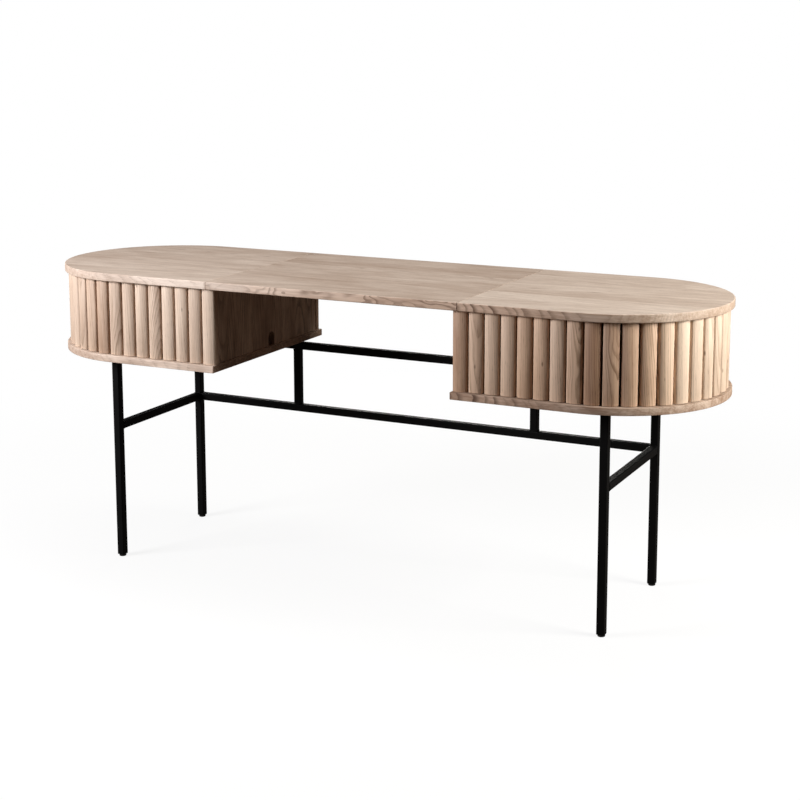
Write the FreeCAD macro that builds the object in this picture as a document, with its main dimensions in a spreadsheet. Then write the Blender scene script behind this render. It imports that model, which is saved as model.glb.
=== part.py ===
import FreeCAD, Part
import math
import os
import Sketcher

Vector = FreeCAD.Vector
doc = FreeCAD.newDocument("tambour_desk")
sheet = doc.addObject("Spreadsheet::Sheet", "dims")

# Driving dimensions in millimetres
DIMENSIONS = {
    "desk_length": 1800,
    "desk_depth": 550,
    "desk_height": 770,
    "top_thickness": 20,
    "top_joint_x": 337,
    "top_edge_round": 2.5,
    "base_top": 560,
    "base_thickness": 18,
    "base_inset": 1,
    "base_inner_x": 320,
    "base_edge_round": 1.5,
    "panel_inner_x": 324,
    "panel_thickness": 20,
    "notch_width": 30,
    "notch_height": 38,
    "notch_y": 12,
    "back_panel_face": 234,
    "back_panel_thickness": 12,
    "back_panel_end_x": 660,
    "end_support_x": 780,
    "end_support_thickness": 18,
    "end_support_width": 160,
    "track_radius": 246,
    "slat_pitch": 39.7,
    "slat_width": 36.9,
    "slat_edge": 14.4,
    "slat_shoulder": 6,
    "slat_thickness": 20,
    "slat_gap_below": 1,
    "slat_gap_above": 1.5,
    "stile_x": 339.4,
    "lead_offset": 245.9,
    "pin_diameter": 5,
    "pin_inset": 3.5,
    "pin_below": 7.7,
    "pin_above": 5,
    "groove_depth": 7,
    "groove_inside": 4,
    "groove_outside": 11,
    "groove_end_x": 370,
    "canvas_thickness": 1,
    "canvas_margin": 2,
    "canvas_hem": 6,
    "tube_side": 20,
    "tube_wall": 2,
    "tube_round": 2.5,
    "leg_x": 669,
    "leg_y": 190,
    "stretcher_z": 354,
    "post_x": 347,
    "glide_height": 6,
    "glide_diameter": 18.5,
    "glide_round": 2,
    "glide_stem": 15.4,
    "glide_stem_height": 20,
    "plate_side": 70,
    "plate_thickness": 5,
    "plate_hole_offset": 26,
    "plate_hole": 5,
    "rail_plate_x": 380,
    "screw_shank": 4.5,
    "screw_bore": 4.7,
    "screw_bore_depth": 14,
    "screw_length": 18,
    "screw_head": 8,
    "screw_head_height": 2.5,
    "panel_screw_length": 44,
    "panel_screw_head": 9,
    "panel_screw_head_height": 3.5,
    "counterbore": 9.4,
    "counterbore_depth": 4,
    "panel_bore_depth": 32,
    "dowel_diameter": 8,
    "dowel_bore": 8.2,
    "dowel_length": 40,
    "dowel_bore_depth": 20.5,
    "dowel_spacing": 200,
}
for row, (alias, number) in enumerate(DIMENSIONS.items(), 1):
    sheet.set(f"A{row}", alias)
    sheet.set(f"B{row}", str(number))
    sheet.setAlias(f"B{row}", alias)
doc.recompute()

# Lengths that several pieces share, written in terms of the sheet
ARC_X = "(dims.desk_length - dims.desk_depth) / 2"
CABINET_HEIGHT = "(dims.desk_height - dims.top_thickness - dims.base_top)"
BASE_UNDERSIDE = "(dims.base_top - dims.base_thickness)"
FRAME_TOP = "(dims.base_top - dims.base_thickness - dims.plate_thickness)"
SLAT_HEIGHT = f"({CABINET_HEIGHT} - dims.slat_gap_below - dims.slat_gap_above)"

SIDES = {"left": -1, "right": 1}
FRONT_SLATS = 7
END_SLATS = 13
BACK_SLATS = 6
PANEL_SCREW_Y = (-170, -60, 170)

nodes = []


# Small helpers for bodies, sketches and features

def new_body(name):
    body = doc.addObject("PartDesign::Body", name)
    body.Label = name
    return body


def sketch_on(body, role="XY_Plane", offset="0"):
    planes = [f for f in body.Origin.OriginFeatures if f.Role == role]
    sketch = body.newObject("Sketcher::SketchObject", body.Name + "_sketch")
    sketch.AttachmentSupport = [(planes[0], "")]
    sketch.MapMode = "FlatFace"
    sketch.setExpression("AttachmentOffset.Base.z", offset)
    return sketch


def extrude(body, kind, sketch, length, reverse=False):
    feature = body.newObject("PartDesign::" + kind, body.Name + "_" + kind.lower())
    feature.Profile = sketch
    feature.setExpression("Length", length)
    feature.Reversed = reverse
    sketch.Visibility = False
    body.Tip = feature
    return feature


def round_edges(body, radius, wanted):
    doc.recompute()
    solid = body.Tip
    names = [f"Edge{i}" for i, edge in enumerate(solid.Shape.Edges, 1) if wanted(edge)]
    feature = body.newObject("PartDesign::Fillet", body.Name + "_fillet")
    feature.Base = (solid, names)
    feature.setExpression("Radius", radius)
    body.Tip = feature


def place(obj, x, y, z, axis=Vector(0, 0, 1), degrees=0):
    obj.Placement = FreeCAD.Placement(Vector(), FreeCAD.Rotation(axis, degrees))
    obj.setExpression("Placement.Base.x", x)
    obj.setExpression("Placement.Base.y", y)
    obj.setExpression("Placement.Base.z", z)
    return obj


def keep(obj, label=None):
    if label:
        obj.Label = label
    nodes.append(obj)
    return obj


def group(name, members):
    compound = doc.addObject("Part::Compound", name)
    compound.Links = members
    return keep(compound, name)


# Sketch outlines, drawn roughly to size and then fixed by constraints bound to the sheet

def bind(sketch, constraint, name, expression):
    index = sketch.addConstraint(constraint)
    sketch.renameConstraint(index, name)
    sketch.setExpression("Constraints." + name, expression)


def join(sketch, pairs):
    for first, first_end, second, second_end in pairs:
        sketch.addConstraint(Sketcher.Constraint("Coincident", first, first_end, second, second_end))


def add_line(sketch, start, end, direction=None):
    index = sketch.addGeometry(Part.LineSegment(Vector(*start), Vector(*end)))
    if direction:
        sketch.addConstraint(Sketcher.Constraint(direction, index))
    return index


def add_arc(sketch, centre, radius, start, end):
    circle = Part.Circle(Vector(*centre), Vector(0, 0, 1), radius)
    return sketch.addGeometry(Part.ArcOfCircle(circle, math.radians(start), math.radians(end)))


def add_circles(sketch, centres, diameter):
    for number, (x, y) in enumerate(centres, 1):
        circle = Part.Circle(Vector(10 * number, 5, 0), Vector(0, 0, 1), 1)
        index = sketch.addGeometry(circle)
        bind(sketch, Sketcher.Constraint("DistanceX", -1, 1, index, 3, 10), f"across{number}", x)
        bind(sketch, Sketcher.Constraint("DistanceY", -1, 1, index, 3, 5), f"along{number}", y)
        bind(sketch, Sketcher.Constraint("Diameter", index, 2), f"bore{number}", diameter)


def add_rectangle(sketch, width, height, name):
    bottom = add_line(sketch, (-5, -5), (5, -5), "Horizontal")
    right = add_line(sketch, (5, -5), (5, 5), "Vertical")
    top = add_line(sketch, (5, 5), (-5, 5), "Horizontal")
    left = add_line(sketch, (-5, 5), (-5, -5), "Vertical")
    join(sketch, [(bottom, 2, right, 1), (right, 2, top, 1), (top, 2, left, 1), (left, 2, bottom, 1)])
    sketch.addConstraint(Sketcher.Constraint("Symmetric", bottom, 1, top, 1, -1, 1))
    bind(sketch, Sketcher.Constraint("DistanceX", bottom, 1, bottom, 2, 10), name + "_width", width)
    bind(sketch, Sketcher.Constraint("DistanceY", right, 1, right, 2, 10), name + "_height", height)


def add_half_stadium(sketch, radius, straight):
    front = add_line(sketch, (-300, -270), (0, -270), "Horizontal")
    arc = add_arc(sketch, (0, 0), 270, -90, 90)
    back = add_line(sketch, (0, 270), (-300, 270), "Horizontal")
    inner = add_line(sketch, (-300, 270), (-300, -270), "Vertical")
    join(sketch, [(front, 2, arc, 1), (arc, 2, back, 1), (back, 2, inner, 1), (inner, 2, front, 1)])
    join(sketch, [(arc, 3, -1, 1)])
    sketch.addConstraint(Sketcher.Constraint("PointOnObject", arc, 1, -2))
    sketch.addConstraint(Sketcher.Constraint("PointOnObject", arc, 2, -2))
    bind(sketch, Sketcher.Constraint("Radius", arc, 270), "end_radius", radius)
    bind(sketch, Sketcher.Constraint("DistanceX", front, 1, front, 2, 300), "straight", straight)


def add_track(sketch, inside, outside, straight):
    arcs = []
    lines = []
    for radius in (257, 242):
        front = add_line(sketch, (-255, -radius), (0, -radius), "Horizontal")
        arc = add_arc(sketch, (0, 0), radius, -90, 90)
        back = add_line(sketch, (0, radius), (-255, radius), "Horizontal")
        join(sketch, [(front, 2, arc, 1), (arc, 2, back, 1), (arc, 3, -1, 1)])
        sketch.addConstraint(Sketcher.Constraint("PointOnObject", arc, 1, -2))
        sketch.addConstraint(Sketcher.Constraint("PointOnObject", arc, 2, -2))
        arcs.append(arc)
        lines.append((front, back))
    front_cap = add_line(sketch, (-255, -257), (-255, -242), "Vertical")
    back_cap = add_line(sketch, (-255, 257), (-255, 242), "Vertical")
    (outer_front, outer_back), (inner_front, inner_back) = lines
    join(sketch, [(outer_front, 1, front_cap, 1), (front_cap, 2, inner_front, 1)])
    join(sketch, [(outer_back, 2, back_cap, 1), (back_cap, 2, inner_back, 2)])
    bind(sketch, Sketcher.Constraint("Radius", arcs[0], 257), "outside", outside)
    bind(sketch, Sketcher.Constraint("Radius", arcs[1], 242), "inside", inside)
    front = outer_front
    bind(sketch, Sketcher.Constraint("DistanceX", front, 1, front, 2, 255), "front_run", straight)
    back = outer_back
    bind(sketch, Sketcher.Constraint("DistanceX", back, 2, back, 1, 255), "back_run", straight)


def add_slat_profile(sketch):
    half = DIMENSIONS["slat_width"] / 2
    edge = DIMENSIONS["slat_edge"]
    rise = DIMENSIONS["slat_thickness"] - edge
    radius = (half * half + rise * rise) / (2 * rise)
    spread = math.degrees(math.asin(half / radius))
    back = add_line(sketch, (-half, 0), (half, 0), "Horizontal")
    right = add_line(sketch, (half, 0), (half, -edge), "Vertical")
    left = add_line(sketch, (-half, -edge), (-half, 0), "Vertical")
    crest_centre = (0, radius - edge - rise)
    front = add_arc(sketch, crest_centre, radius, 270 - spread, 270 + spread)
    join(sketch, [(back, 2, right, 1), (right, 2, front, 2), (front, 1, left, 1), (left, 2, back, 1)])
    sketch.addConstraint(Sketcher.Constraint("Symmetric", back, 1, back, 2, -1, 1))
    sketch.addConstraint(Sketcher.Constraint("Equal", left, right))
    bind(sketch, Sketcher.Constraint("DistanceX", back, 1, back, 2, 2 * half), "width", "dims.slat_width")
    bind(sketch, Sketcher.Constraint("DistanceY", right, 2, right, 1, edge), "edge", "dims.slat_edge")
    rise_text = "(dims.slat_thickness - dims.slat_edge)"
    crest = f"((dims.slat_width / 2) ^ 2 + {rise_text} ^ 2) / (2 * {rise_text})"
    bind(sketch, Sketcher.Constraint("Radius", front, radius), "crest", crest)


# Desk top: a middle board and two round-ended boards, joined by dowels

def on_outer_edge(edge, radius):
    if abs(edge.BoundBox.ZLength) > 0.01:
        return False
    if hasattr(edge.Curve, "Radius"):
        return abs(edge.Curve.Radius - radius) < 0.01
    return edge.BoundBox.YLength < 0.01 and abs(abs(edge.BoundBox.YMin) - radius) < 0.01


def dowel_bores(body, plane_x, reverse):
    sketch = sketch_on(body, "YZ_Plane", plane_x)
    spots = [(f"{step} * dims.dowel_spacing", "dims.top_thickness / 2") for step in (-1, 0, 1)]
    add_circles(sketch, spots, "dims.dowel_bore")
    extrude(body, "Pocket", sketch, "dims.dowel_bore_depth", reverse)


def top_level():
    return "dims.desk_height - dims.top_thickness"


def middle_top_board():
    body = new_body("middle_top_board")
    sketch = sketch_on(body)
    add_rectangle(sketch, "2 * dims.top_joint_x", "dims.desk_depth", "board")
    extrude(body, "Pad", sketch, "dims.top_thickness")
    half_depth = DIMENSIONS["desk_depth"] / 2
    round_edges(body, "dims.top_edge_round", lambda edge: on_outer_edge(edge, half_depth))
    dowel_bores(body, "dims.top_joint_x", False)
    dowel_bores(body, "-dims.top_joint_x", True)
    keep(place(body, "0", "0", top_level()))


def end_top_board(side, sign):
    body = new_body(side + "_top_board")
    run = f"{ARC_X} - dims.top_joint_x"
    sketch = sketch_on(body)
    add_half_stadium(sketch, "dims.desk_depth / 2", run)
    extrude(body, "Pad", sketch, "dims.top_thickness")
    half_depth = DIMENSIONS["desk_depth"] / 2
    round_edges(body, "dims.top_edge_round", lambda edge: on_outer_edge(edge, half_depth))
    track_groove(body, "0", True)
    dowel_bores(body, f"-({run})", True)
    turn = 0 if sign > 0 else 180
    keep(place(body, f"{sign} * {ARC_X}", "0", top_level(), degrees=turn))


def track_groove(body, level, reverse):
    sketch = sketch_on(body, offset=level)
    inside = "dims.track_radius - dims.groove_inside"
    outside = "dims.track_radius + dims.groove_outside"
    add_track(sketch, inside, outside, f"{ARC_X} - dims.groove_end_x")
    extrude(body, "Pocket", sketch, "dims.groove_depth", reverse)


def top_dowels():
    dowels = []
    for side, sign in SIDES.items():
        for number, step in enumerate((-1, 0, 1), 1):
            dowel = doc.addObject("Part::Cylinder", f"{side}_dowel_{number}")
            dowel.setExpression("Radius", "dims.dowel_diameter / 2")
            dowel.setExpression("Height", "dims.dowel_length")
            x = f"{sign} * dims.top_joint_x - dims.dowel_length / 2"
            z = "dims.desk_height - dims.top_thickness / 2"
            place(dowel, x, f"{step} * dims.dowel_spacing", z, Vector(0, 1, 0), 90)
            dowels.append(dowel)
    group("top_dowels", dowels)


# Pedestal boards: base, inner panel, back panel, end support

def plate_spots(sign):
    leg = f"dims.leg_x - {ARC_X}"
    rail = f"dims.rail_plate_x - {ARC_X}"
    return [(leg, "-dims.leg_y"), (leg, "dims.leg_y"), (rail, f"{sign} * dims.leg_y")]


def screw_spots(x, y):
    offset = "dims.plate_hole_offset"
    return [(f"{x} {a} {offset}", f"{y} {b} {offset}") for a in "+-" for b in "+-"]


def base_board(side, sign):
    body = new_body(side + "_base_board")
    sketch = sketch_on(body)
    add_half_stadium(sketch, "dims.desk_depth / 2 - dims.base_inset", f"{ARC_X} - dims.base_inner_x")
    extrude(body, "Pad", sketch, "dims.base_thickness")
    rim = DIMENSIONS["desk_depth"] / 2 - DIMENSIONS["base_inset"]
    round_edges(body, "dims.base_edge_round", lambda edge: on_outer_edge(edge, rim))
    track_groove(body, "dims.base_thickness", False)
    bores = sketch_on(body)
    spots = [spot for x, y in plate_spots(sign) for spot in screw_spots(x, y)]
    add_circles(bores, spots, "dims.screw_bore")
    extrude(body, "Pocket", bores, "dims.screw_bore_depth", True)
    line = f"dims.panel_inner_x + dims.panel_thickness / 2 - {ARC_X}"
    rows = [(line, str(sign * y)) for y in PANEL_SCREW_Y]
    through = sketch_on(body)
    add_circles(through, rows, "dims.screw_bore")
    extrude(body, "Pocket", through, "dims.base_thickness", True)
    heads = sketch_on(body)
    add_circles(heads, rows, "dims.counterbore")
    extrude(body, "Pocket", heads, "dims.counterbore_depth", True)
    turn = 0 if sign > 0 else 180
    keep(place(body, f"{sign} * {ARC_X}", "0", BASE_UNDERSIDE, degrees=turn))


def add_panel_outline(sketch):
    near, far, top = -246, 246, 190
    left, right, spring = -3, 27, 23
    floor_near = add_line(sketch, (near, 0), (left, 0), "Horizontal")
    notch_near = add_line(sketch, (left, 0), (left, spring), "Vertical")
    arch = add_arc(sketch, (12, spring), 15, 0, 180)
    notch_far = add_line(sketch, (right, spring), (right, 0), "Vertical")
    floor_far = add_line(sketch, (right, 0), (far, 0), "Horizontal")
    back = add_line(sketch, (far, 0), (far, top), "Vertical")
    upper = add_line(sketch, (far, top), (near, top))
    front = add_line(sketch, (near, top), (near, 0), "Vertical")
    join(sketch, [(floor_near, 2, notch_near, 1), (notch_near, 2, arch, 2), (arch, 1, notch_far, 1)])
    join(sketch, [(notch_far, 2, floor_far, 1), (floor_far, 2, back, 1), (back, 2, upper, 1)])
    join(sketch, [(upper, 2, front, 1), (front, 2, floor_near, 1)])
    sketch.addConstraint(Sketcher.Constraint("PointOnObject", floor_near, 1, -1))
    sketch.addConstraint(Sketcher.Constraint("PointOnObject", floor_far, 1, -1))
    sketch.addConstraint(Sketcher.Constraint("Symmetric", upper, 1, upper, 2, -2))
    sketch.addConstraint(Sketcher.Constraint("Equal", notch_near, notch_far))
    depth = "2 * dims.track_radius"
    bind(sketch, Sketcher.Constraint("DistanceX", upper, 2, upper, 1, 2 * far), "depth", depth)
    bind(sketch, Sketcher.Constraint("DistanceY", back, 1, back, 2, top), "height", CABINET_HEIGHT)
    bind(sketch, Sketcher.Constraint("Radius", arch, 15), "arch", "dims.notch_width / 2")
    bind(sketch, Sketcher.Constraint("DistanceX", -1, 1, arch, 3, 12), "middle", "dims.notch_y")
    rise = "dims.notch_height - dims.notch_width / 2"
    bind(sketch, Sketcher.Constraint("DistanceY", -1, 1, arch, 3, spring), "spring", rise)
    sketch.addConstraint(Sketcher.Constraint("Horizontal", arch, 2, arch, 3))


def inner_panel(side, sign):
    body = new_body(side + "_inner_panel")
    sketch = sketch_on(body, "YZ_Plane")
    add_panel_outline(sketch)
    extrude(body, "Pad", sketch, "dims.panel_thickness")
    bores = sketch_on(body)
    spots = [("dims.panel_thickness / 2", str(y)) for y in PANEL_SCREW_Y]
    add_circles(bores, spots, "dims.screw_bore")
    extrude(body, "Pocket", bores, "dims.panel_bore_depth", True)
    x = "dims.panel_inner_x" if sign > 0 else "-dims.panel_inner_x - dims.panel_thickness"
    keep(place(body, x, "0", "dims.base_top"))


def board(name, length, width, height, x, y, z):
    box = doc.addObject("Part::Box", name)
    box.setExpression("Length", length)
    box.setExpression("Width", width)
    box.setExpression("Height", height)
    keep(place(box, x, y, z), name)


def back_panel(side, sign):
    start = "(dims.panel_inner_x + dims.panel_thickness)"
    x = start if sign > 0 else "-dims.back_panel_end_x"
    y = "dims.back_panel_face - dims.back_panel_thickness"
    length = f"dims.back_panel_end_x - {start}"
    name = side + "_back_panel"
    board(name, length, "dims.back_panel_thickness", CABINET_HEIGHT, x, y, "dims.base_top")


def end_support(side, sign):
    x = "dims.end_support_x" if sign > 0 else "-dims.end_support_x - dims.end_support_thickness"
    y = "-dims.end_support_width / 2"
    size = ("dims.end_support_thickness", "dims.end_support_width", CABINET_HEIGHT)
    board(side + "_end_support", *size, x, y, "dims.base_top")


def panel_screws():
    screws = []
    z = f"{BASE_UNDERSIDE} + dims.counterbore_depth"
    for side, sign in SIDES.items():
        x = f"{sign} * (dims.panel_inner_x + dims.panel_thickness / 2)"
        for number, y in enumerate(PANEL_SCREW_Y, 1):
            name = f"{side}_panel_screw_{number}"
            head = ("dims.panel_screw_head", "dims.panel_screw_head_height")
            screws.append(screw(name, "dims.panel_screw_length", head, x, str(y), z))
    group("panel_screws", screws)


# Tambour doors: fixed stiles, moving slats with guide pins, cloth backing

def on_shoulder(edge):
    box = edge.BoundBox
    return box.ZLength > 1 and abs(box.YMin + DIMENSIONS["slat_edge"]) < 0.01


def slat(name, pinned):
    body = new_body(name)
    sketch = sketch_on(body)
    add_slat_profile(sketch)
    extrude(body, "Pad", sketch, SLAT_HEIGHT if pinned else CABINET_HEIGHT)
    round_edges(body, "dims.slat_shoulder", on_shoulder)
    if pinned:
        pin = sketch_on(body, offset="-dims.pin_below")
        circle = pin.addGeometry(Part.Circle(Vector(0, -3, 0), Vector(0, 0, 1), 2.5))
        pin.addConstraint(Sketcher.Constraint("PointOnObject", circle, 3, -2))
        bind(pin, Sketcher.Constraint("DistanceY", circle, 3, -1, 1, 3), "inset", "dims.pin_inset")
        bind(pin, Sketcher.Constraint("Diameter", circle, 5), "pin", "dims.pin_diameter")
        extrude(body, "Pad", pin, f"{SLAT_HEIGHT} + dims.pin_below + dims.pin_above")
    return body


def stiles(side, sign):
    x = f"{sign} * dims.stile_x"
    front = slat(side + "_front_stile", False)
    keep(place(front, x, "-dims.track_radius", "dims.base_top"))
    back = slat(side + "_back_stile", False)
    keep(place(back, x, "dims.track_radius", "dims.base_top", degrees=180))


def moving_slat(name, index, sign):
    body = slat(name, True)
    z = "dims.base_top + dims.slat_gap_below"
    run = f"({index} * dims.slat_pitch - dims.lead_offset)"
    if index < FRONT_SLATS:
        return place(body, f"{sign} * ({ARC_X} + {run})", "-dims.track_radius", z)
    angle = f"({run} / dims.track_radius * 180 / pi * 1 deg)"
    x = f"{sign} * ({ARC_X} + dims.track_radius * sin{angle})"
    place(body, x, f"-dims.track_radius * cos{angle}", z, degrees=1)
    body.setExpression("Placement.Rotation.Angle", f"{sign} * {angle}")
    return body


def door_canvas(side, sign):
    start = f"(({FRONT_SLATS} - 0.5) * dims.slat_pitch - dims.lead_offset + dims.canvas_hem)"
    span = f"({END_SLATS} * dims.slat_pitch - 2 * dims.canvas_hem)"
    degrees = "/ dims.track_radius * 180 / pi * 1 deg"
    turn = f"270 deg + {start} {degrees}" if sign > 0 else f"270 deg - ({start} + {span}) {degrees}"
    skins = []
    for name, inset in (("outer", "0"), ("inner", "dims.canvas_thickness")):
        skin = doc.addObject("Part::Cylinder", f"{side}_canvas_{name}")
        skin.setExpression("Radius", f"dims.track_radius - {inset}")
        skin.setExpression("Height", f"{CABINET_HEIGHT} - 2 * dims.canvas_margin")
        skin.setExpression("Angle", f"{span} {degrees}")
        place(skin, f"{sign} * {ARC_X}", "0", "dims.base_top + dims.canvas_margin", degrees=1)
        skin.setExpression("Placement.Rotation.Angle", turn)
        skins.append(skin)
    canvas = doc.addObject("Part::Cut", side + "_door_canvas")
    canvas.Base, canvas.Tool = skins
    keep(canvas, side + "_door_canvas")


def tambour_door(side, sign):
    keep(moving_slat(side + "_lead_slat", 0, sign))
    for index in range(1, FRONT_SLATS):
        keep(moving_slat(f"{side}_slat_{index + 1:02d}", index, sign))
    ends = range(FRONT_SLATS, FRONT_SLATS + END_SLATS)
    group(side + "_end_slats", [moving_slat(f"{side}_end_{i + 1:02d}", i, sign) for i in ends])
    first_back = FRONT_SLATS + END_SLATS
    for index in range(first_back, first_back + BACK_SLATS):
        keep(moving_slat(f"{side}_slat_{index + 1:02d}", index, sign))
    door_canvas(side, sign)


# Steel frame: square tubes, foot glides, mounting plates and screws

def tube(name, length, x, y, z, axis=Vector(0, 0, 1), degrees=0):
    body = new_body(name)
    sketch = sketch_on(body)
    add_rectangle(sketch, "dims.tube_side", "dims.tube_side", "outer")
    bore = "dims.tube_side - 2 * dims.tube_wall"
    add_rectangle(sketch, bore, bore, "inner")
    extrude(body, "Pad", sketch, length)
    corner = DIMENSIONS["tube_side"] / 2

    def long_corner(edge):
        box = edge.BoundBox
        return box.ZLength > 1 and abs(abs(box.XMin) - corner) < 0.01 and abs(abs(box.YMin) - corner) < 0.01

    round_edges(body, "dims.tube_round", long_corner)
    keep(place(body, x, y, z, axis, degrees))


def legs():
    for side, sign in SIDES.items():
        for end, way in (("front", -1), ("back", 1)):
            length = f"{FRAME_TOP} - dims.glide_height"
            x = f"{sign} * dims.leg_x"
            tube(f"{side}_{end}_leg", length, x, f"{way} * dims.leg_y", "dims.glide_height")


def rails():
    along_x = (Vector(0, 1, 0), 90)
    along_y = (Vector(1, 0, 0), -90)
    half = "dims.tube_side / 2"
    for side, sign in SIDES.items():
        length = "2 * dims.leg_y - dims.tube_side"
        x = f"{sign} * dims.leg_x"
        tube(side + "_side_stretcher", length, x, f"-dims.leg_y + {half}", "dims.stretcher_z", *along_y)
    span = "2 * dims.leg_x - dims.tube_side"
    start = f"-dims.leg_x + {half}"
    tube("back_stretcher", span, start, "dims.leg_y", "dims.stretcher_z", *along_x)
    tube("upper_back_rail", span, start, "dims.leg_y", f"{FRAME_TOP} - {half}", *along_x)
    for side, sign in SIDES.items():
        height = f"{FRAME_TOP} - dims.tube_side - dims.stretcher_z - {half}"
        tube(side + "_rail_post", height, f"{sign} * dims.post_x", "dims.leg_y", f"dims.stretcher_z + {half}")


def foot_glides():
    glides = []
    for side, sign in SIDES.items():
        for end, way in (("front", -1), ("back", 1)):
            body = new_body(f"{side}_{end}_glide")
            sketch = sketch_on(body)
            disc = sketch.addGeometry(Part.Circle(Vector(), Vector(0, 0, 1), 9))
            join(sketch, [(disc, 3, -1, 1)])
            bind(sketch, Sketcher.Constraint("Diameter", disc, 18), "disc", "dims.glide_diameter")
            extrude(body, "Pad", sketch, "dims.glide_height")
            round_edges(body, "dims.glide_round", lambda edge: abs(edge.BoundBox.ZMax) < 0.01)
            plug = sketch_on(body, offset="dims.glide_height")
            stem = plug.addGeometry(Part.Circle(Vector(), Vector(0, 0, 1), 7))
            join(plug, [(stem, 3, -1, 1)])
            bind(plug, Sketcher.Constraint("Diameter", stem, 14), "stem", "dims.glide_stem")
            extrude(body, "Pad", plug, "dims.glide_stem_height")
            glides.append(place(body, f"{sign} * dims.leg_x", f"{way} * dims.leg_y", "0"))
    group("foot_glides", glides)


def plate_centres():
    spots = []
    for sign in SIDES.values():
        for way in (-1, 1):
            spots.append((f"{sign} * dims.leg_x", f"{way} * dims.leg_y"))
        spots.append((f"{sign} * dims.rail_plate_x", "dims.leg_y"))
    return spots


def mounting_plates():
    plates = []
    for number, (x, y) in enumerate(plate_centres(), 1):
        body = new_body(f"plate_{number}")
        sketch = sketch_on(body)
        add_rectangle(sketch, "dims.plate_side", "dims.plate_side", "plate")
        add_circles(sketch, screw_spots("0", "0"), "dims.plate_hole")
        extrude(body, "Pad", sketch, "dims.plate_thickness")
        plates.append(place(body, x, y, FRAME_TOP))
    group("mounting_plates", plates)


def screw(name, length, head, x, y, z):
    head_diameter, head_height = head
    shank = doc.addObject("Part::Cylinder", name + "_shank")
    shank.setExpression("Radius", "dims.screw_shank / 2")
    shank.setExpression("Height", length)
    place(shank, x, y, z)
    cap = doc.addObject("Part::Cylinder", name + "_head")
    cap.setExpression("Radius", head_diameter + " / 2")
    cap.setExpression("Height", head_height)
    place(cap, x, y, f"{z} - {head_height}")
    whole = doc.addObject("Part::Fuse", name)
    whole.Base = shank
    whole.Tool = cap
    return whole


def plate_screws():
    screws = []
    head = ("dims.screw_head", "dims.screw_head_height")
    for plate, (x, y) in enumerate(plate_centres(), 1):
        for number, (screw_x, screw_y) in enumerate(screw_spots(x, y), 1):
            name = f"plate_{plate}_screw_{number}"
            screws.append(screw(name, "dims.screw_length", head, screw_x, screw_y, FRAME_TOP))
    group("plate_screws", screws)


# Build, check and write

def build():
    middle_top_board()
    for side, sign in SIDES.items():
        end_top_board(side, sign)
        base_board(side, sign)
        inner_panel(side, sign)
        back_panel(side, sign)
        end_support(side, sign)
        stiles(side, sign)
        tambour_door(side, sign)
    top_dowels()
    panel_screws()
    legs()
    rails()
    foot_glides()
    mounting_plates()
    plate_screws()
    doc.recompute()


def check_and_write():
    for obj in doc.Objects:
        if "Invalid" in obj.State or "Error" in obj.State:
            raise RuntimeError(f"{obj.Label} did not build: {obj.State}")
    os.makedirs("parts", exist_ok=True)
    for node in nodes:
        if node.Shape.isNull() or not node.Shape.isValid():
            raise RuntimeError(f"{node.Label} has no valid shape")
        node.Shape.exportStep(f"parts/{node.Label}.step")
        print(node.Label, len(node.Shape.Solids), round(node.Shape.Volume))


build()
check_and_write()
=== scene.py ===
"""Tambour desk: washed ash boards and slats on a black steel frame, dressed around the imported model."""
from __future__ import annotations

import logging
import math
import random
from dataclasses import dataclass, field
from enum import Enum
from functools import partial
from typing import Callable, Iterable, Sequence, Union

import bmesh
import bpy
from bmesh.types import BMEdge, BMesh, BMFace, BMLoop, BMVert
from mathutils import Matrix, Vector


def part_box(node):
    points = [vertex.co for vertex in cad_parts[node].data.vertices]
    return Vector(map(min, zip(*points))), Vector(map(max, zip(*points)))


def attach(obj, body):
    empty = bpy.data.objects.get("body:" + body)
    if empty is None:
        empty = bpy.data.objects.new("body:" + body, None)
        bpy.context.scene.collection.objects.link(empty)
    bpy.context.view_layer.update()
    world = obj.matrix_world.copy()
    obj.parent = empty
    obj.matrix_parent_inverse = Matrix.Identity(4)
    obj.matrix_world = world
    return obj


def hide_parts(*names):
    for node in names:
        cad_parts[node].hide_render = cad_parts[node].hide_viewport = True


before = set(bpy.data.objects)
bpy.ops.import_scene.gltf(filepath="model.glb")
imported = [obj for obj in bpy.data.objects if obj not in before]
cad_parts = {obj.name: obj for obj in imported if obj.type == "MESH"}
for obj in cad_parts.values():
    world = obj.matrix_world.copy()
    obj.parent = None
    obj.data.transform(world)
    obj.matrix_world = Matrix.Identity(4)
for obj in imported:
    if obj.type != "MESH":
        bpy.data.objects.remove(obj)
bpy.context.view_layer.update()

LOG = logging.getLogger("tambour_desk")
MM = 0.001
METRE_MM = 1000
UP = Vector((0, 0, 1))
RIGHT = Vector((1, 0, 0))
FRONT = Vector((0, -1, 0))
BACK = Vector((0, 1, 0))
ROOT_BODY = "desk"
SIDES = {"left": -1, "right": 1}
LEGS = [f"{side}_{end}_leg" for side in SIDES for end in ("front", "back")]
# numbers laid on each wooden mesh: how brown, how strongly ringed, how wavy and how warm
LOOKS = ("tone", "figure", "bend", "blush")
# faces above this area, in square metres, are shaded flat
FLAT_AREA = 0.002
SHARP_ANGLE = math.radians(38)
MERGE_DISTANCE = 1e-6
# sides of the full circle of a round-ended board
BOARD_SEGMENTS = 192

Socket = bpy.types.NodeSocket
NodeInput = Union[float, tuple, Socket]
Adder = Callable[..., Socket]


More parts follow.
